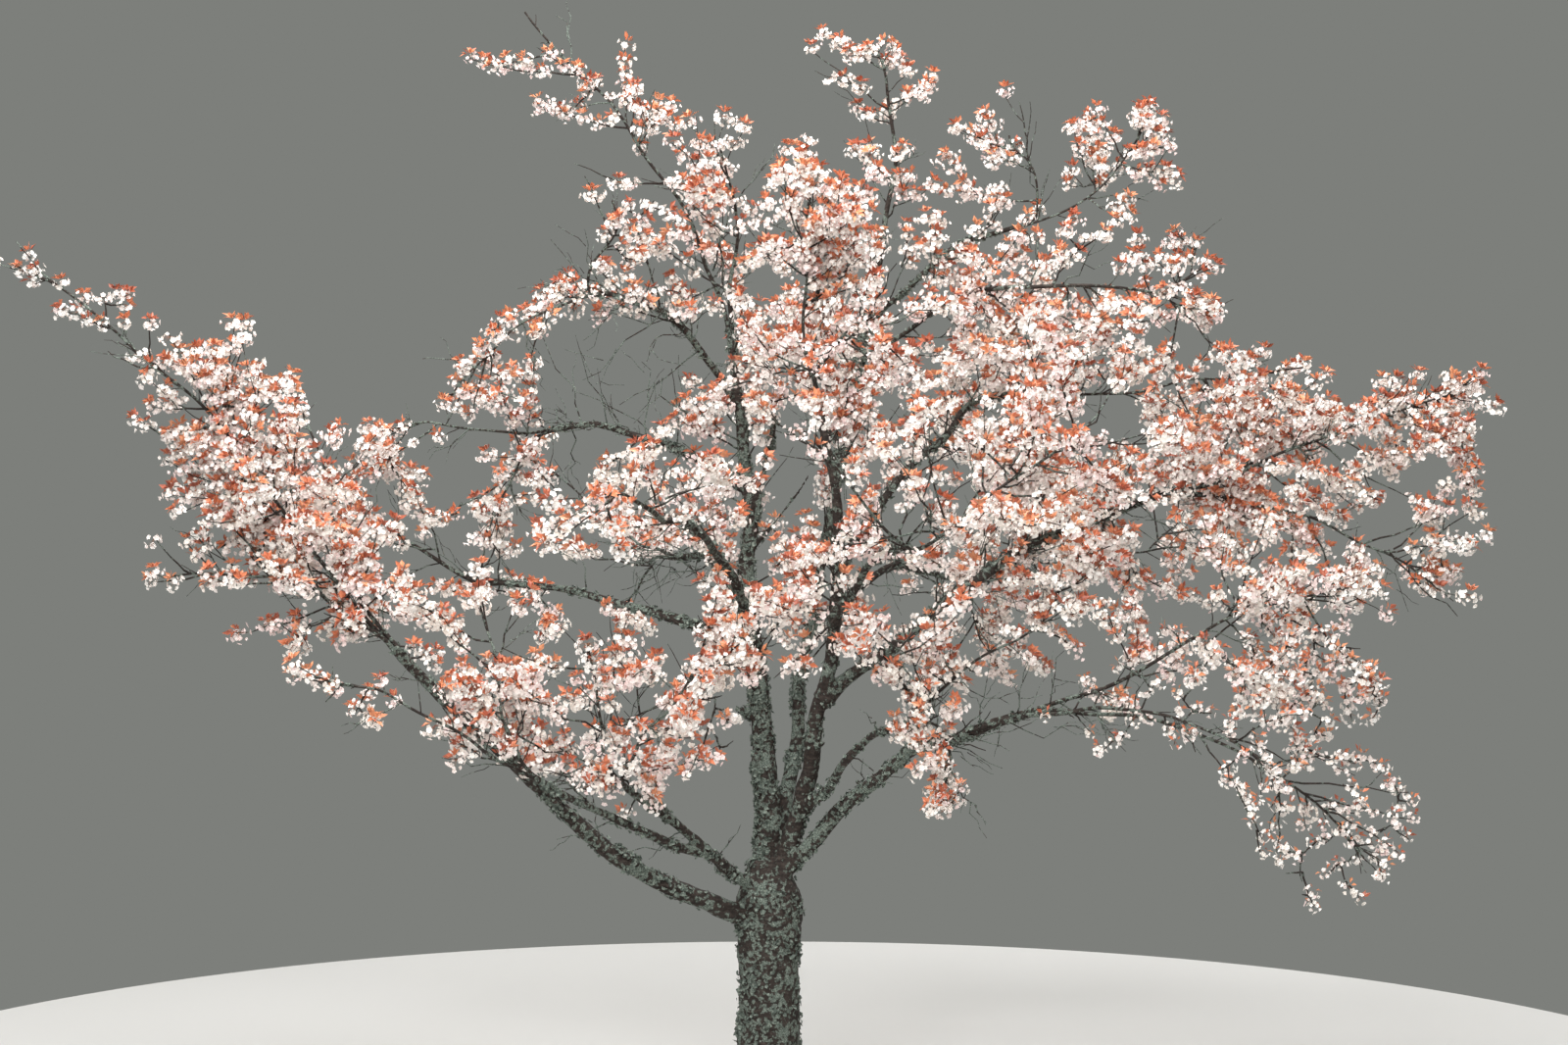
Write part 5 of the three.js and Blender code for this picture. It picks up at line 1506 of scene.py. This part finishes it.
middles = readRows(bark.data.polygons, "center")
kinds = np.array([limbKind(p) for p in middles], np.int32)
bark.data.polygons.foreach_set("material_index", kinds)
barkSkins = [barkMaterial("bark_" + kind, threshold) for kind, threshold in lichenForm["thresholds"].items()]
finishPiece(bark, barkSkins, woodNodes)

# tufts of lichen: small cupped rosettes that stand off the bark in patches
lichenRandom = np.random.default_rng(seeds["lichen"])
faceNormals = readRows(bark.data.polygons, "normal")
faceAreas = np.zeros(len(middles), np.float32)
bark.data.polygons.foreach_get("area", faceAreas)
patchScale, usual, swing, least, most = lichenForm["patches"]
patchiness = np.array([fractalNoise(Vector(p) * patchScale) for p in middles])
amount = np.array([lichenForm["barest"] - lichenForm["thresholds"][kind] for kind in barkKinds])[kinds]
wanted = faceAreas * amount * np.clip(usual + swing * patchiness, least, most)
chosen = lichenRandom.choice(len(middles), lichenForm["tufts"], p=wanted / wanted.sum())
count = len(chosen)
outward = unit(faceNormals[chosen] + lichenRandom.normal(0, lichenForm["tilt"], (count, 3)))
across = unit(np.cross(outward, lichenRandom.normal(0, 1, (count, 3))))
beside = np.cross(outward, across)
centre = middles[chosen] + faceNormals[chosen] * lichenRandom.uniform(*lichenForm["lift"], count)[:, None]
size = lichenRandom.uniform(*lichenForm["radius"], count)[:, None]
rows = [centre]
for k in range(lichenForm["points"]):
    angle = 2 * math.pi * k / lichenForm["points"]
    reach = size * lichenRandom.uniform(*lichenForm["pointReach"], (count, 1))
    rim = across * math.cos(angle) + beside * math.sin(angle)
    rise = size * lichenRandom.uniform(*lichenForm["pointRise"], (count, 1))
    rows.append(centre + rim * reach + outward * rise)
lichenPoints = np.stack(rows, 1).reshape(-1, 3)
lichenPoints[:, 2] = np.maximum(lichenPoints[:, 2], lichenForm["lowest"])
lichen = meshFromArrays("lichen", lichenPoints, fanFaces(count, lichenForm["points"]))
finishPiece(lichen, [cloudMaterial("lichenCrust", lichenForm, barkLooks["lichen"])], woodNodes)

# stems of the masses: the last thick wood before the twigs
stemForm = {
    "end": 0.006,  # radius at the tip
    "sides": 7,
    "rings": 30,
    "before": -0.015,  # where it begins, as a share before its root
    "sunk": 2,
    "taper": 0.85,
    "lichen": 0.515,
}
rows, widths = [], []
for stem in stems.values():
    shares = np.linspace(stemForm["before"], 1, stemForm["rings"])
    beyond, sunk = np.maximum(shares, 0), np.minimum(shares, 0)[:, None]
    rows.append(stem["line"].pointAt(beyond) + sunk * stem["line"].headingAt(0.0) * stemForm["sunk"])
    widths.append(mix(stem["root"], stemForm["end"], beyond ** stemForm["taper"]))
vertices, quads = tubes(np.array(rows), np.array(widths), stemForm["sides"])
stemPiece = meshFromArrays("fine_boughs", vertices, quads, smooth=True)
finishPiece(stemPiece, [barkMaterial("fineBoughBark", stemForm["lichen"])], massNodes)

# twigs, a little crooked between their ends: sides, and for each piece how crooked, and its lichen threshold
twigForm = {"sides": 3, "twigs": (0.014, 0.53), "bareTwigs": (0.035, 0.47)}
crookRandom = np.random.default_rng(seeds["crook"])


def twigPiece(name, rows, barkName, crook, threshold):
    vertices, quads = [], []
    base = 0
    for bends, rings, (thick, thin) in rows:
        shares = np.linspace(0, 1, rings)
        points = pointOnBend(np.moveaxis(np.array(bends), 1, 0)[:, :, None], shares[:, None])
        reach = np.linalg.norm(points[:, -1] - points[:, 0], axis=1)[:, None, None]
        points[:, 1:-1] += crookRandom.normal(0, crook, points[:, 1:-1].shape) * reach
        radii = np.tile(mix(thick, thin, shares), (len(bends), 1))
        rowVertices, rowQuads = tubes(points, radii, twigForm["sides"])
        vertices.append(rowVertices)
        quads.append(rowQuads + base)
        base += len(rowVertices)
    piece = meshFromArrays(name, np.concatenate(vertices), np.concatenate(quads), smooth=True)
    finishPiece(piece, [barkMaterial(barkName, threshold)], massNodes)


twigPiece("twigs", (
    ([axis["bend"] for axis in axes], shootForm["axisRings"], shootForm["axisRadius"]),
    ([shoot["bend"] for shoot in shoots], shootForm["shootRings"], shootForm["shootRadius"]),
    ([twig["bend"] for twig in spurTwigs], shootForm["shootRings"], shootForm["shootRadius"]),
), "twigBark", *twigForm["twigs"])
twigPiece("bare_twigs", (
    (bareTwigs, bareTwigForm["rings"], bareTwigForm["radius"]),
    (bareSides, bareTwigForm["sideRings"], bareTwigForm["sideRadius"]),
), "bareTwigBark", *twigForm["bareTwigs"])

# clusters: along every twig stand short spurs, each with a skirt of flowers under a cap of young leaves
clusterForm = {
    "spacing": 0.105,
    "jitter": 0.6,
    "swell": (0.78, 1.22),  # size of a cluster, which has more flowers as its surface grows
    "widths": (0.95, 1.45),
    "heights": (0.50, 0.82),
    "flowers": 17,
    "ball": (0.022, 0.060),  # from the spur to a flower
    "band": (0.5, -0.95),  # cosines from the cap's axis between which flowers stand
    "bandJitter": (0.1, 0.9),
    "turnJitter": 0.4,
    "hang": 0.010,
    "hangRange": (0.5, 1.5),
    "facing": (0.28, 0.1),  # how far a flower strays from facing straight out, and how much it looks up
    "spurTurn": 0.6,
    "steep": 0.95,  # a twig this near upright has its spurs placed from level x
    "spur": (0.014, 0.012),  # from the twig to the cluster's heart, sideways and along its cap
    "cap": {"up": 0.85, "along": 0.35, "alongAtEnd": 0.3, "out": 0.35, "stray": 0.12},
}
rng = np.random.default_rng(seeds["blossom"])
dressed = [*axes, *shoots, *spurTwigs]
places, headings, groups, atEnd, scales, masses = [], [], [], [], [], []
for number, twig in enumerate(dressed):
    bow, first = twig["bend"], twig["bare"]
    length = np.linalg.norm(bow[1] - bow[0]) + np.linalg.norm(bow[2] - bow[1])
    count = max(1, int(round(length * (1 - first) / clusterForm["spacing"])))
    steps = (np.arange(count) + 1 + rng.uniform(-0.5, 0.0, count) * clusterForm["jitter"]) / count
    t = np.clip(first + (1 - first) * steps, 0, 1)[:, None]
    places.append(pointOnBend(bow, t))
    headings.append(unit((1 - t) * (bow[1] - bow[0]) + t * (bow[2] - bow[1])))
    groups.append(np.full(count, number))
    scales.append(np.full(count, twig["scale"]))
    atEnd.append(np.arange(count) == count - 1)
    masses += [twig["mass"]] * count
places, headings, groups, atEnd, scales = (
    np.concatenate(row) for row in (places, headings, groups, atEnd, scales))

# stems that show between the clusters: limb, share from, share to, half width, each seen in some steps
openViews = (
    ("stem_left", 0.49, 0.92, 0.055),
    ("stem_right", 0.40, 0.60, 0.055),
    ("stem_right", 0.68, 0.98, 0.055),
    ("bough_right_upper", 0.0, 0.70, 0.055),
    ("bough_right_main", 0.0, 0.50, 0.045),
    ("bough_left_low", 0.5, 0.95, 0.055),
    ("top_left", 0.0, 0.45, 0.040),
    ("right_low", 0.0, 0.60, 0.045),
    ("right_far", 0.0, 0.65, 0.035),
    ("right_drooping", 0.3, 0.95, 0.025),
    ("centre_high", 0.05, 0.60, 0.025),
    ("front_left", 0.0, 0.85, 0.025),
    ("front_inner", 0.0, 0.90, 0.025),
    ("left_inner", 0.1, 0.80, 0.020),
    ("left_far", 0.0, 0.35, 0.035),
    ("left_outer", 0.1, 0.70, 0.020),
    ("bough_left_upper", 0.25, 1.0, 0.050),
)
viewSteps = 80
shown = onPlane(places)
gone = inOpening(places)
hiding = np.zeros(len(places), bool)
for name, first, last, halfWidth in openViews:
    onLimb = lineOf(name).pointAt(np.linspace(first, last, viewSteps))
    gaps = np.linalg.norm(shown[:, None] - onPlane(onLimb)[None], axis=-1)
    hiding |= (gaps.min(1) < halfWidth) & (places[:, 1] < onLimb[gaps.argmin(1), 1])
chance = np.where(gone, leftIn["openingClusters"], np.where(hiding, leftIn["views"], 1.0))
for *ellipse, stays in thinSpots:
    chance = np.where(inEllipse(shown, *ellipse), np.minimum(chance, stays), chance)
kept = rng.random(len(places)) < chance
places, headings, groups, atEnd, scales = (row[kept] for row in (places, headings, groups, atEnd, scales))
masses = [name for name, stays in zip(masses, kept) if stays]
print("clusters left out", int((~kept).sum()))

# each cluster's spur and the axis of its cap of leaves
clusters = len(places)
goldenTurn = np.radians(growthRule["goldenAngle"])
spurTurn = clusterForm["spurTurn"]
turns = goldenTurn * np.arange(clusters) + rng.uniform(-spurTurn, spurTurn, clusters)
steepSpur = np.abs(headings[:, 2]) > clusterForm["steep"]
spurSide = unit(np.cross(headings, np.where(steepSpur[:, None], np.array([1.0, 0, 0]), up)))
spurOut = spurSide * np.cos(turns)[:, None] + np.cross(spurSide, headings) * np.sin(turns)[:, None]
cap = clusterForm["cap"]
capAlong = cap["along"] + cap["alongAtEnd"] * atEnd[:, None]
capAxis = unit(up * cap["up"] + headings * capAlong + spurOut * cap["out"])
capAxis = unit(capAxis + rng.normal(0, cap["stray"], (clusters, 3)))
heart = places + spurOut * clusterForm["spur"][0] + capAxis * clusterForm["spur"][1]
print("clusters", clusters)

# where each flower stands and what it faces
swell = rng.uniform(*clusterForm["swell"], clusters) * scales
perCluster = np.round(clusterForm["flowers"] * swell**2).astype(int)
owner = np.repeat(np.arange(clusters), perCluster)
count = len(owner)
across = unit(np.cross(capAxis, np.array([0.31, 0.95, 0.05])))  # aslant to any likely axis
beside = np.cross(across, capAxis)
nth = np.concatenate([np.arange(n) for n in perCluster])
step = (nth + rng.uniform(*clusterForm["bandJitter"], count)) / perCluster[owner]
height = mix(*clusterForm["band"], step)
around = goldenTurn * nth + np.repeat(rng.uniform(0, 2 * np.pi, clusters), perCluster)
around += rng.uniform(-clusterForm["turnJitter"], clusterForm["turnJitter"], count)
level = np.sqrt(np.maximum(0, 1 - height**2))
widths = rng.uniform(*clusterForm["widths"], (clusters, 2))
heights = rng.uniform(*clusterForm["heights"], clusters)
away = (
    across[owner] * (np.cos(around) * level * widths[owner, 0])[:, None]
    + beside[owner] * (np.sin(around) * level * widths[owner, 1])[:, None]
    + capAxis[owner] * (height * heights[owner])[:, None]
)
centres = heart[owner] + away * (swell[owner] * rng.uniform(*clusterForm["ball"], count))[:, None]
centres[:, 2] -= clusterForm["hang"] * rng.uniform(*clusterForm["hangRange"], count)
facing = unit(away + rng.normal(0, clusterForm["facing"][0], (count, 3)) + up * clusterForm["facing"][1])

# flowers of five petals: open ones have three points to a petal's edge, and half open ones are cups
flowerForm = {
    "openShare": 0.5,
    "petals": 5,
    "radius": (0.0165, 0.0210),
    "cup": (0.05, 0.5),  # how far the petals of an open flower stand up
    "edge": ((-33, 0.84, 0.14), (0, 1.0, 0.0), (33, 0.84, 0.14)),  # turn, reach and rise of its points
    "cupRadius": (0.0115, 0.0160),
    "cupDepth": (0.7, 1.2),
    "stalkWidth": 0.0014,
    "tonesMixed": 0.25,  # share of flowers with another tone than their spray's
    "scale": 34.0,
    "detail": 2.0,
    "cloud": (0.38, 0.62),
    "roughness": 0.62,
    "specular": 0.25,
}
openFlower = rng.random(count) < flowerForm["openShare"]
sideways = unit(np.cross(facing, rng.normal(0, 1, (count, 3))))
upright = np.cross(facing, sideways)
petalTurns = range(0, 360, 360 // flowerForm["petals"])


def rimPoint(which, degrees):
    angle = math.radians(degrees)
    return sideways[which] * math.cos(angle) + upright[which] * math.sin(angle)


def openFlowers(which):
    size = rng.uniform(*flowerForm["radius"], len(which))[:, None]
    cup = rng.uniform(*flowerForm["cup"], len(which))[:, None]
    rows = [centres[which]]
    for petalTurn in petalTurns:
        for turn, out, raised in flowerForm["edge"]:
            rim = rimPoint(which, petalTurn + turn)
            rows.append(centres[which] + (rim * out + facing[which] * (cup * out + raised)) * size)
    first = len(rows) * np.arange(len(which))[:, None]
    edges = range(1, len(rows), len(flowerForm["edge"]))
    petals = [first + np.array([[0, left + k, left + k + 1]]) for left in edges for k in range(2)]
    return np.stack(rows, 1).reshape(-1, 3), np.concatenate(petals)


def halfOpenFlowers(which):
    size = rng.uniform(*flowerForm["cupRadius"], len(which))[:, None]
    rows = [centres[which]]
    for petalTurn in petalTurns:
        depth = rng.uniform(*flowerForm["cupDepth"], len(which))[:, None]
        rows.append(centres[which] + (rimPoint(which, petalTurn) + facing[which] * depth) * size)
    return np.stack(rows, 1).reshape(-1, 3), fanFaces(len(which), flowerForm["petals"])


# deals the tones out by spray, with some flowers or leaves of another tone in between
def dealTones(tones, groupOfEach, mixed):
    shares = [tone["share"] for tone in tones.values()]
    dealt = rng.choice(len(tones), len(dressed), p=shares)[groupOfEach]
    stray = rng.random(len(dealt)) < mixed
    dealt[stray] = rng.choice(len(tones), stray.sum(), p=shares)
    return dealt


def cloudStops(form, tone):
    return [(form["cloud"][0], tone["shade"]), (form["cloud"][1], tone["light"])]


petalTones = {
    "white": {"share": 0.32, "light": (0.94, 0.905, 0.865), "shade": (0.90, 0.845, 0.80)},
    "cream": {"share": 0.28, "light": (0.94, 0.89, 0.835), "shade": (0.89, 0.815, 0.75)},
    "blush": {"share": 0.27, "light": (0.93, 0.855, 0.815), "shade": (0.88, 0.775, 0.735)},
    "pink": {"share": 0.13, "light": (0.92, 0.80, 0.77), "shade": (0.86, 0.69, 0.67)},
}
toneOfFlower = dealTones(petalTones, groups[owner], flowerForm["tonesMixed"])
for number, (toneName, tone) in enumerate(petalTones.items()):
    chosen = toneOfFlower == number
    flat, flatFaces = openFlowers(np.flatnonzero(chosen & openFlower))
    cups, cupFaces = halfOpenFlowers(np.flatnonzero(chosen & ~openFlower))
    vertices, faces = np.concatenate([flat, cups]), np.concatenate([flatFaces, cupFaces + len(flat)])
    piece = meshFromArrays("blossom_" + toneName, vertices, faces)
    petalSkin = cloudMaterial("petals_" + toneName, flowerForm, cloudStops(flowerForm, tone))
    finishPiece(piece, [petalSkin], massNodes)
print("flowers", count, "open", int(openFlower.sum()))

# form of the young leaves, whose kind of skin the flower stalks share
leafForm = {
    "perCap": (9, 14),
    "turnJitter": 0.5,
    "lean": (18, 72),  # degrees from the cap's axis
    "length": (0.040, 0.068),
    "width": 0.46,
    "tilt": 0.35,
    "fold": (0.45, 0.07),  # where its widest points are and how far they stand up
    "rib": (0.48, 0.02),  # where its middle point is and how far it lies back
    "start": 0.024,
    "spread": 0.022,
    "droop": 0.32,
    "droopRange": (0.1, 1.0),
    "bareCaps": 0.10,
    "tonesMixed": 0.3,
    "scale": 26.0,
    "detail": 2.0,
    "cloud": (0.35, 0.65),
    "roughness": 0.42,
    "specular": 0.5,
}

# flower stalks: one thin blade each
stalkTone = {"light": (0.30, 0.13, 0.06), "shade": (0.20, 0.065, 0.035)}
half = sideways * flowerForm["stalkWidth"]
blades = np.stack([heart[owner] - half, heart[owner] + half, centres], 1).reshape(-1, 3)
stalks = meshFromArrays("flower_stalks", blades, np.arange(3 * count).reshape(-1, 3))
stalkSkin = cloudMaterial("stalkSkin", leafForm, cloudStops(leafForm, stalkTone))
finishPiece(stalks, [stalkSkin], massNodes)

# young leaves: a cap of them over each cluster
perCap = rng.integers(leafForm["perCap"][0], leafForm["perCap"][1] + 1, clusters)
perCap[rng.random(clusters) < leafForm["bareCaps"]] = 0
leafy = np.array([massForms.get(name, {}).get("leafy", 1.0) for name in masses])
perCap = np.round(perCap * leafy).astype(int)
leafOwner = np.repeat(np.arange(clusters), perCap)
leafCount = len(leafOwner)
nth = np.concatenate([np.arange(n) for n in perCap if n])
around = 2 * np.pi * nth / perCap[leafOwner] + np.repeat(rng.uniform(0, 2 * np.pi, clusters), perCap)
around += rng.uniform(-leafForm["turnJitter"], leafForm["turnJitter"], leafCount)
lean = np.radians(rng.uniform(*leafForm["lean"], leafCount))[:, None]
leafCap = capAxis[leafOwner]
leafOut = across[leafOwner] * np.cos(around)[:, None] + beside[leafOwner] * np.sin(around)[:, None]
leafAway = unit(leafOut * np.sin(lean) + leafCap * np.cos(lean))
leafLength = (rng.uniform(*leafForm["length"], leafCount) * np.sqrt(scales[leafOwner]))[:, None]
leafAcross = unit(np.cross(leafAway, leafCap + rng.normal(0, leafForm["tilt"], (leafCount, 3))))
leafOver = np.cross(leafAcross, leafAway)
leafRise = (leafForm["start"] * swell[leafOwner])[:, None]
leafSpread = rng.uniform(0, leafForm["spread"], (leafCount, 1))
leafBase = heart[leafOwner] + leafCap * leafRise + unit(leafOut) * leafSpread
halfWidth = leafForm["width"] / 2 * leafAcross
droop = leafForm["droop"] * rng.uniform(*leafForm["droopRange"], leafCount)[:, None]
(foldAt, foldUp), (ribAt, ribBack) = leafForm["fold"], leafForm["rib"]
leafPoints = np.stack([
    leafBase,
    leafBase + leafLength * (foldAt * leafAway - halfWidth + foldUp * leafOver),
    leafBase + leafLength * (ribAt * leafAway - ribBack * leafOver),
    leafBase + leafLength * (foldAt * leafAway + halfWidth + foldUp * leafOver),
    leafBase + leafLength * (leafAway - up * droop),
], 1)
leafTones = {
    "copper": {"share": 0.50, "light": (0.64, 0.215, 0.105), "shade": (0.52, 0.15, 0.07)},
    "russet": {"share": 0.27, "light": (0.46, 0.125, 0.065), "shade": (0.33, 0.083, 0.045)},
    "amber": {"share": 0.23, "light": (0.68, 0.29, 0.15), "shade": (0.58, 0.22, 0.105)},
}
toneOfLeaf = dealTones(leafTones, groups[leafOwner], leafForm["tonesMixed"])
halves = np.array([[0, 2, 1], [1, 2, 4], [0, 3, 2], [2, 3, 4]])
for number, (toneName, tone) in enumerate(leafTones.items()):
    chosen = leafPoints[toneOfLeaf == number]
    first = leafPoints.shape[1] * np.arange(len(chosen))[:, None, None]
    faces = (first + halves[None]).reshape(-1, 3)
    piece = meshFromArrays("leaves_" + toneName, chosen.reshape(-1, 3), faces)
    leafSkin = cloudMaterial("leaf_" + toneName, leafForm, cloudStops(leafForm, tone))
    finishPiece(piece, [leafSkin], massNodes)
print("leaves", leafCount)

# camera, floor and soft studio light
cameraData = bpy.data.cameras.new("camera")
cameraData.lens = cameraForm["lens"]
cameraData.sensor_width = cameraForm["sensor"]
camera = bpy.data.objects.new("camera", cameraData)
camera.location = cameraForm["place"]
camera.rotation_euler = (math.pi / 2, 0, 0)
bpy.context.scene.collection.objects.link(camera)
bpy.context.scene.camera = camera

floorForm = {"radius": 6.5, "height": -0.002, "points": 128, "colour": (0.62, 0.61, 0.59), "roughness": 0.8}
angles = np.linspace(0, 2 * np.pi, floorForm["points"], endpoint=False)
rim = np.stack([np.cos(angles), np.sin(angles), np.zeros(len(angles))], -1) * floorForm["radius"]
rim[:, 2] = floorForm["height"]
floor = meshFromArrays("floor", rim, np.arange(len(angles))[None])
floorSkin, _, _, shader = newMaterial("floorSkin")
shader.inputs["Base Color"].default_value = (*floorForm["colour"], 1)
shader.inputs["Roughness"].default_value = floorForm["roughness"]
floor.data.materials.append(floorSkin)

lightForms = {
    "overhead": {"place": (-0.5, -4.0, 13.0), "aim": (0, 0, 3.5), "size": 9.0, "power": 2450.0},
    "front": {"place": (-3.0, -15.0, 8.5), "aim": (0, 0, 3.5), "size": 8.0, "power": 1750.0},
    "behind": {"place": (5.0, 13.0, 9.0), "aim": (0, 0, 3.5), "size": 8.0, "power": 1100.0},
}
for name, form in lightForms.items():
    data = bpy.data.lights.new(name, "AREA")
    data.size = form["size"]
    data.energy = form["power"]
    lamp = bpy.data.objects.new(name, data)
    lamp.location = form["place"]
    towards = Vector(form["aim"]) - Vector(form["place"])
    lamp.rotation_euler = towards.to_track_quat("-Z", "Y").to_euler()
    bpy.context.scene.collection.objects.link(lamp)

backdrop = {"colour": (0.205, 0.212, 0.198), "strength": 1.0}
world = bpy.data.worlds.new("studio")
bpy.context.scene.world = world
world.use_nodes = True
background = world.node_tree.nodes["Background"]
background.inputs["Color"].default_value = (*backdrop["colour"], 1)
background.inputs["Strength"].default_value = backdrop["strength"]
bpy.context.scene.view_settings.view_transform = "Standard"
